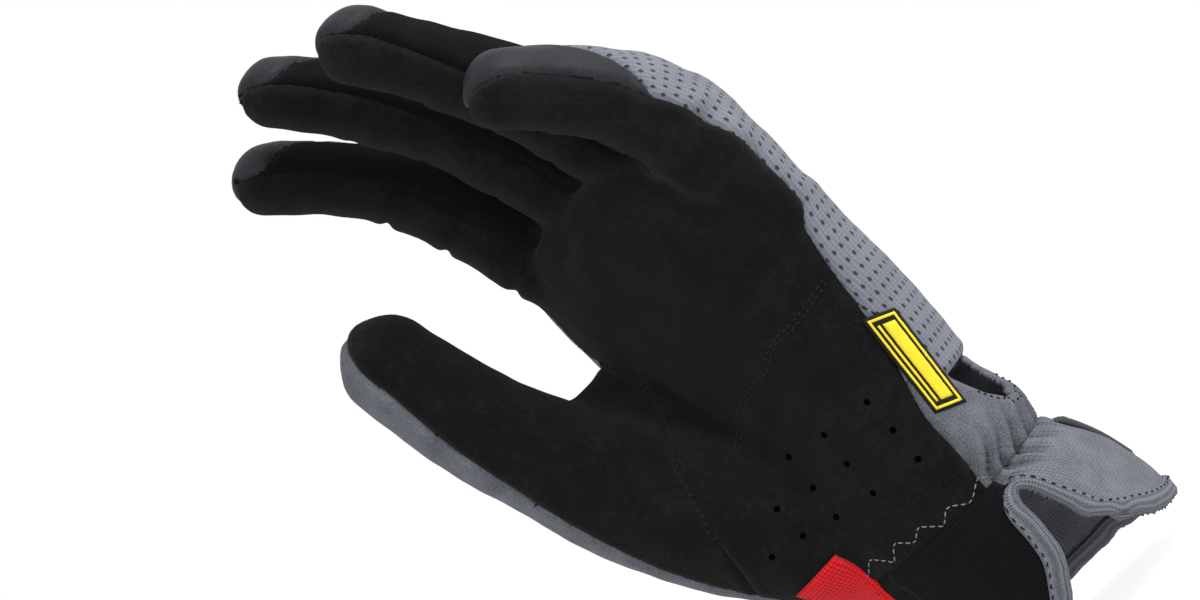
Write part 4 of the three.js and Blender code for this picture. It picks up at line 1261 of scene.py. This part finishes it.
def patch(name, seat, outline_at, rows, columns, thick, material, nodes=(), rise=0.0):
    """A thin plate on the skin. outline_at gives its (x, y) on the seat for shares along and across."""
    top, uv = [], []
    for i in range(rows + 1):
        for j in range(columns + 1):
            a, b = i / rows, j / columns
            edge = min(a * rows, (1 - a) * rows, b * columns, (1 - b) * columns)
            x, y = outline_at(a, b)
            top.append(seat.place(x, y, rise + thick * min(1, 0.55 + 0.45 * edge)))
            uv.append((y, x))
    top = np.array(top)
    under = top - seat.out * (thick + 0.7)
    middle, below = len(top) // 2, len(top) // 2 + columns + 1
    i, j = np.meshgrid(np.arange(rows), np.arange(columns), indexing="ij")
    corner = (i * (columns + 1) + j).ravel()
    quads = np.stack([corner, corner + 1, corner + columns + 2, corner + columns + 1], 1)
    if np.dot(np.cross(top[middle + 1] - top[middle], top[below] - top[middle]), seat.out) < 0:
        quads = quads[:, ::-1]
    faces = closed_sheet(halved(quads), len(top))
    return add_piece(name, np.vstack([top, under]), faces, material, nodes, np.array(uv + uv))


def round_average(values, reach):
    """Values round a closed line, each averaged with those before and after it."""
    return sum(np.roll(values, step, axis=0) for step in range(-reach, reach + 1)) / (2 * reach + 1)


def make_binding():
    angles, heights = hem_line(0.8)
    edge = np.array([skin_place(place)[0] for place in body_point(angles, heights)])
    edge = round_average(edge, 2)
    ways = round_average(unit(np.roll(edge, -2, axis=0) - np.roll(edge, 2, axis=0)), 2)
    normals = round_average(np.array([skin_place(place)[1] for place in edge]), 3)
    width, bulge, under = BINDING_WIDTH, BINDING_BULGE, WALL + 0.7
    section = [(width, -0.1), (width - 0.15, 0.5), (width - 0.9, bulge), (width * 0.55, bulge * 0.75),
               (width * 0.25, bulge), (0.2, bulge * 0.85), (-0.35, 0.1), (-0.4, -0.8), (0.1, -1.6),
               (width * 0.4, -under), (width - 0.5, -under), (width, -under + 0.5)]
    inward = unit(np.cross(normals, ways))
    rings = np.zeros((len(edge), len(section), 3))
    for number, (across, out) in enumerate(section):
        spots = [skin_place(place + way * max(across, 0)) for place, way in zip(edge, inward)]
        faces = round_average(np.array([face for _, face in spots]), 3)
        spots = round_average(np.array([spot for spot, _ in spots]), 1 + round(max(across, 0) * 0.8))
        rings[:, number] = spots + unit(faces) * out + inward * min(across, 0)
    rows, sides = rings.shape[:2]
    quads = ring_faces(rows + 1, sides) % (rows * sides)
    run = np.repeat(np.arange(rows) * 0.8, sides)
    share = np.tile(np.arange(sides) * 1.2, rows)
    piece = add_piece("cloth_hem_binding", rings.reshape(-1, 3), quads[:, ::-1], TAPE, ["hem_binding"],
                      np.stack([run, share], 1))
    seam = round_average(edge + inward * (width - 1.1), 3)
    stitch_row("stitch_binding", [seam], DARK_THREAD, 1.6, 1.0, 0.22, bulge - 0.08)


def make_label():
    seat = Seat(LABEL_ANGLE, CUFF_LENGTH + LABEL_RISE)
    fall, lean = math.tan(math.radians(LABEL_SLOPE)), math.tan(math.radians(LABEL_LEAN))

    def part(low, high, left, right):
        """A stretch of the label, by shares of its length from the bottom and its width."""
        def place(a, b):
            x = (left + (right - left) * b - 0.5) * LABEL_WIDTH
            y = (low + (high - low) * a - 0.5) * LABEL_LENGTH
            return x + y * lean, y - x * fall
        return place

    patch("label_edge", seat, part(0, 1, 0, 1), 34, 10, 0.7, LABEL_BLACK, ["side_label"])
    bars = {
        "border_low": (0.03, 0.055, 0.1, 0.9), "border_high": (0.945, 0.97, 0.1, 0.9),
        "border_left": (0.03, 0.97, 0.1, 0.17), "border_right": (0.03, 0.97, 0.83, 0.9),
        "field": (0.1, 0.9, 0.4, 0.76), "line": (0.1, 0.9, 0.25, 0.32),
    }
    for name, sides in bars.items():
        steps = max(int((sides[1] - sides[0]) * 36), 3)
        bar = patch("label_" + name, seat, part(*sides), steps, 4, 0.22, LABEL_YELLOW, rise=0.68)


def make_tab():
    top = CUFF_LENGTH + TAB_RISE
    seat = Seat(TAB_ANGLE, top)
    drop = top - BINDING_WIDTH - 0.3

    def tab_at(along, across):
        return (across - 0.5) * TAB_WIDTH, -along * drop

    piece = patch("cloth_pull_tab", seat, tab_at, 60, 18, TRIM_THICK, RED_WEB, ["pull_tab"])
    across, along = np.linspace(0.06, 0.94, 12), np.linspace(0.045, 0.955, 40)
    seams = [[seat.place(*tab_at(share, t)) for t in across] for share in (0.045, 0.955)]
    seams += [[seat.place(*tab_at(t, share)) for t in along] for share in (0.08, 0.92)]
    stitch_row("stitch_tab", seams, RED_THREAD, 1.4, 0.6, 0.2, TRIM_THICK)


def make_badge():
    seat = Seat(90, CUFF_LENGTH - BADGE_DROP)

    def part(low, high, left, right):
        return lambda a, b: ((left + (right - left) * a - 0.5) * BADGE_WIDTH,
                             (low + (high - low) * b - 0.5) * BADGE_LENGTH)

    piece = patch("cloth_cuff_badge", seat, part(0, 1, 0, 1), 36, 24, TRIM_THICK, PATCH, ["cuff_badge"])
    ribs = [(0.08, 0.13, 0.05, 0.95), (0.87, 0.92, 0.05, 0.95),
            (0.3, 0.7, 0.2, 0.3), (0.3, 0.7, 0.45, 0.55), (0.3, 0.7, 0.7, 0.8)]
    for number, sides in enumerate(ribs):
        rib = patch(f"badge_rib_{number}", seat, part(*sides), 24, 8, 0.4, PATCH, rise=TRIM_THICK - 0.05)


def make_stitches():
    for name, pixels, by in (("palm_a", PALM_SEAM_A, 0.55), ("palm_b", PALM_SEAM_B, 0.55)):
        path = seen_path(pixels)
        stitch_row("stitch_" + name, [shifted(path, by), shifted(path, -by)], PALM_THREAD, 1.3, 0.7, 0.2)
    stitch_row("stitch_zigzag", [seen_path(ZIGZAG, rounded=False)], GREY_THREAD, 1.6, 0.5, 0.19)
    stitch_row("stitch_wrist", [seen_path(TOPSTITCH)], DARK_THREAD, 1.0, 0.8, 0.2)
    below = CUFF_LENGTH + KEYHOLE_TOP - KEYHOLE_ROWS[1:-1, 1] * KEYHOLE_DEPTH - 1.9
    edge = body_point(KEYHOLE_ANGLE + KEYHOLE_ROWS[1:-1, 0] * KEYHOLE_SPAN * 1.06, below)
    path = [skin_place(place)[0] for place in even_path(edge, 1.0)]
    stitch_row("stitch_wrist_opening", [path], DARK_THREAD, 1.4, 0.6, 0.24)
    stitch_row("stitch_back", [seen_path(BACK_STITCH)], DARK_THREAD, 1.6, 0.6, 0.24)


def make_holes():
    """Small punched holes in the palm, as discs darkened with painted shade of the holes' insides."""
    parts = []
    right, up = turned(np.linspace(0, 360, 20, endpoint=False))
    for pixel in HOLES:
        middle = seen_place(pixel)
        _, normal = skin_place(middle)
        side = unit(np.cross(normal, (0, 0, 1)))
        out = np.cross(normal, side)
        rings = [[skin_place(middle + (x * side + y * out) * size, lift)[0] for x, y in zip(right, up)]
                 for size, lift in ((0.85, -0.3), (0.82, 0.04), (0.74, 0.09), (0.45, 0.06), (0.2, 0.04))]
        parts.append(closed_loft(np.array(rings)))
    # The discs carry the painted shade of the holes.
    add_piece("painted_palm_hole_shade", *joined(parts), PAINTED_HOLE_SHADE)


make_binding()
make_label()
make_tab()
make_badge()
make_stitches()
make_holes()


# Floor, light and camera

def area_light(name, place, size, power):
    data = bpy.data.lights.new(name, "AREA")
    data.shape = "SQUARE"
    data.size = size
    data.energy = power
    light = bpy.data.objects.new(name, data)
    light.location = place
    aim = Vector(VIEW_TARGET * MM) - Vector(place)
    light.rotation_euler = aim.to_track_quat("-Z", "Y").to_euler()
    bpy.context.scene.collection.objects.link(light)


def make_floor():
    cloth = Cloth("pale_floor", 1.0, specular=0.0)
    cloth.set("Base Color", (0.15, 0.15, 0.15, 1))
    cloth.set("Emission Color", (1, 1, 1, 1))
    cloth.set("Emission Strength", 0.9)
    sides = ((-1, -1), (1, -1), (1, 1), (-1, 1))
    corners = np.array([(x * FLOOR_REACH, y * FLOOR_REACH, FLOOR) for x, y in sides])
    mesh = raw_mesh("floor", corners, [(0, 1, 2, 3)])
    mesh.materials.append(cloth.material)
    floor = bpy.data.objects.new("floor", mesh)
    bpy.context.scene.collection.objects.link(floor)


def make_stage():
    world = bpy.data.worlds.new("white")
    world.use_nodes = True
    world.node_tree.nodes["Background"].inputs[0].default_value = (1, 1, 1, 1)
    world.node_tree.nodes["Background"].inputs[1].default_value = 1.0
    bpy.context.scene.world = world
    bpy.context.scene.view_settings.view_transform = "Standard"
    up = VIEW_UP
    above = VIEW_TARGET + up * 700 + VIEW_RIGHT * 150 - VIEW_WAY * 350
    area_light("key", above * MM, 0.7, 9)
    front = VIEW_TARGET - VIEW_WAY * 900 - VIEW_RIGHT * 400 + up * 100
    area_light("front", front * MM, 0.6, 4)

    camera = bpy.data.cameras.new("photo")
    camera.sensor_width = 36
    camera.lens = VIEW_FOCUS * 36 / PHOTO_SIZE[0]
    camera.clip_end = 20
    holder = bpy.data.objects.new("photo", camera)
    bpy.context.scene.collection.objects.link(holder)
    turn = Matrix([VIEW_RIGHT, VIEW_UP, -VIEW_WAY]).transposed()
    holder.matrix_world = Matrix.Translation(VIEW_PLACE * MM) @ turn.to_4x4()
    bpy.context.scene.camera = holder


make_floor()
make_stage()
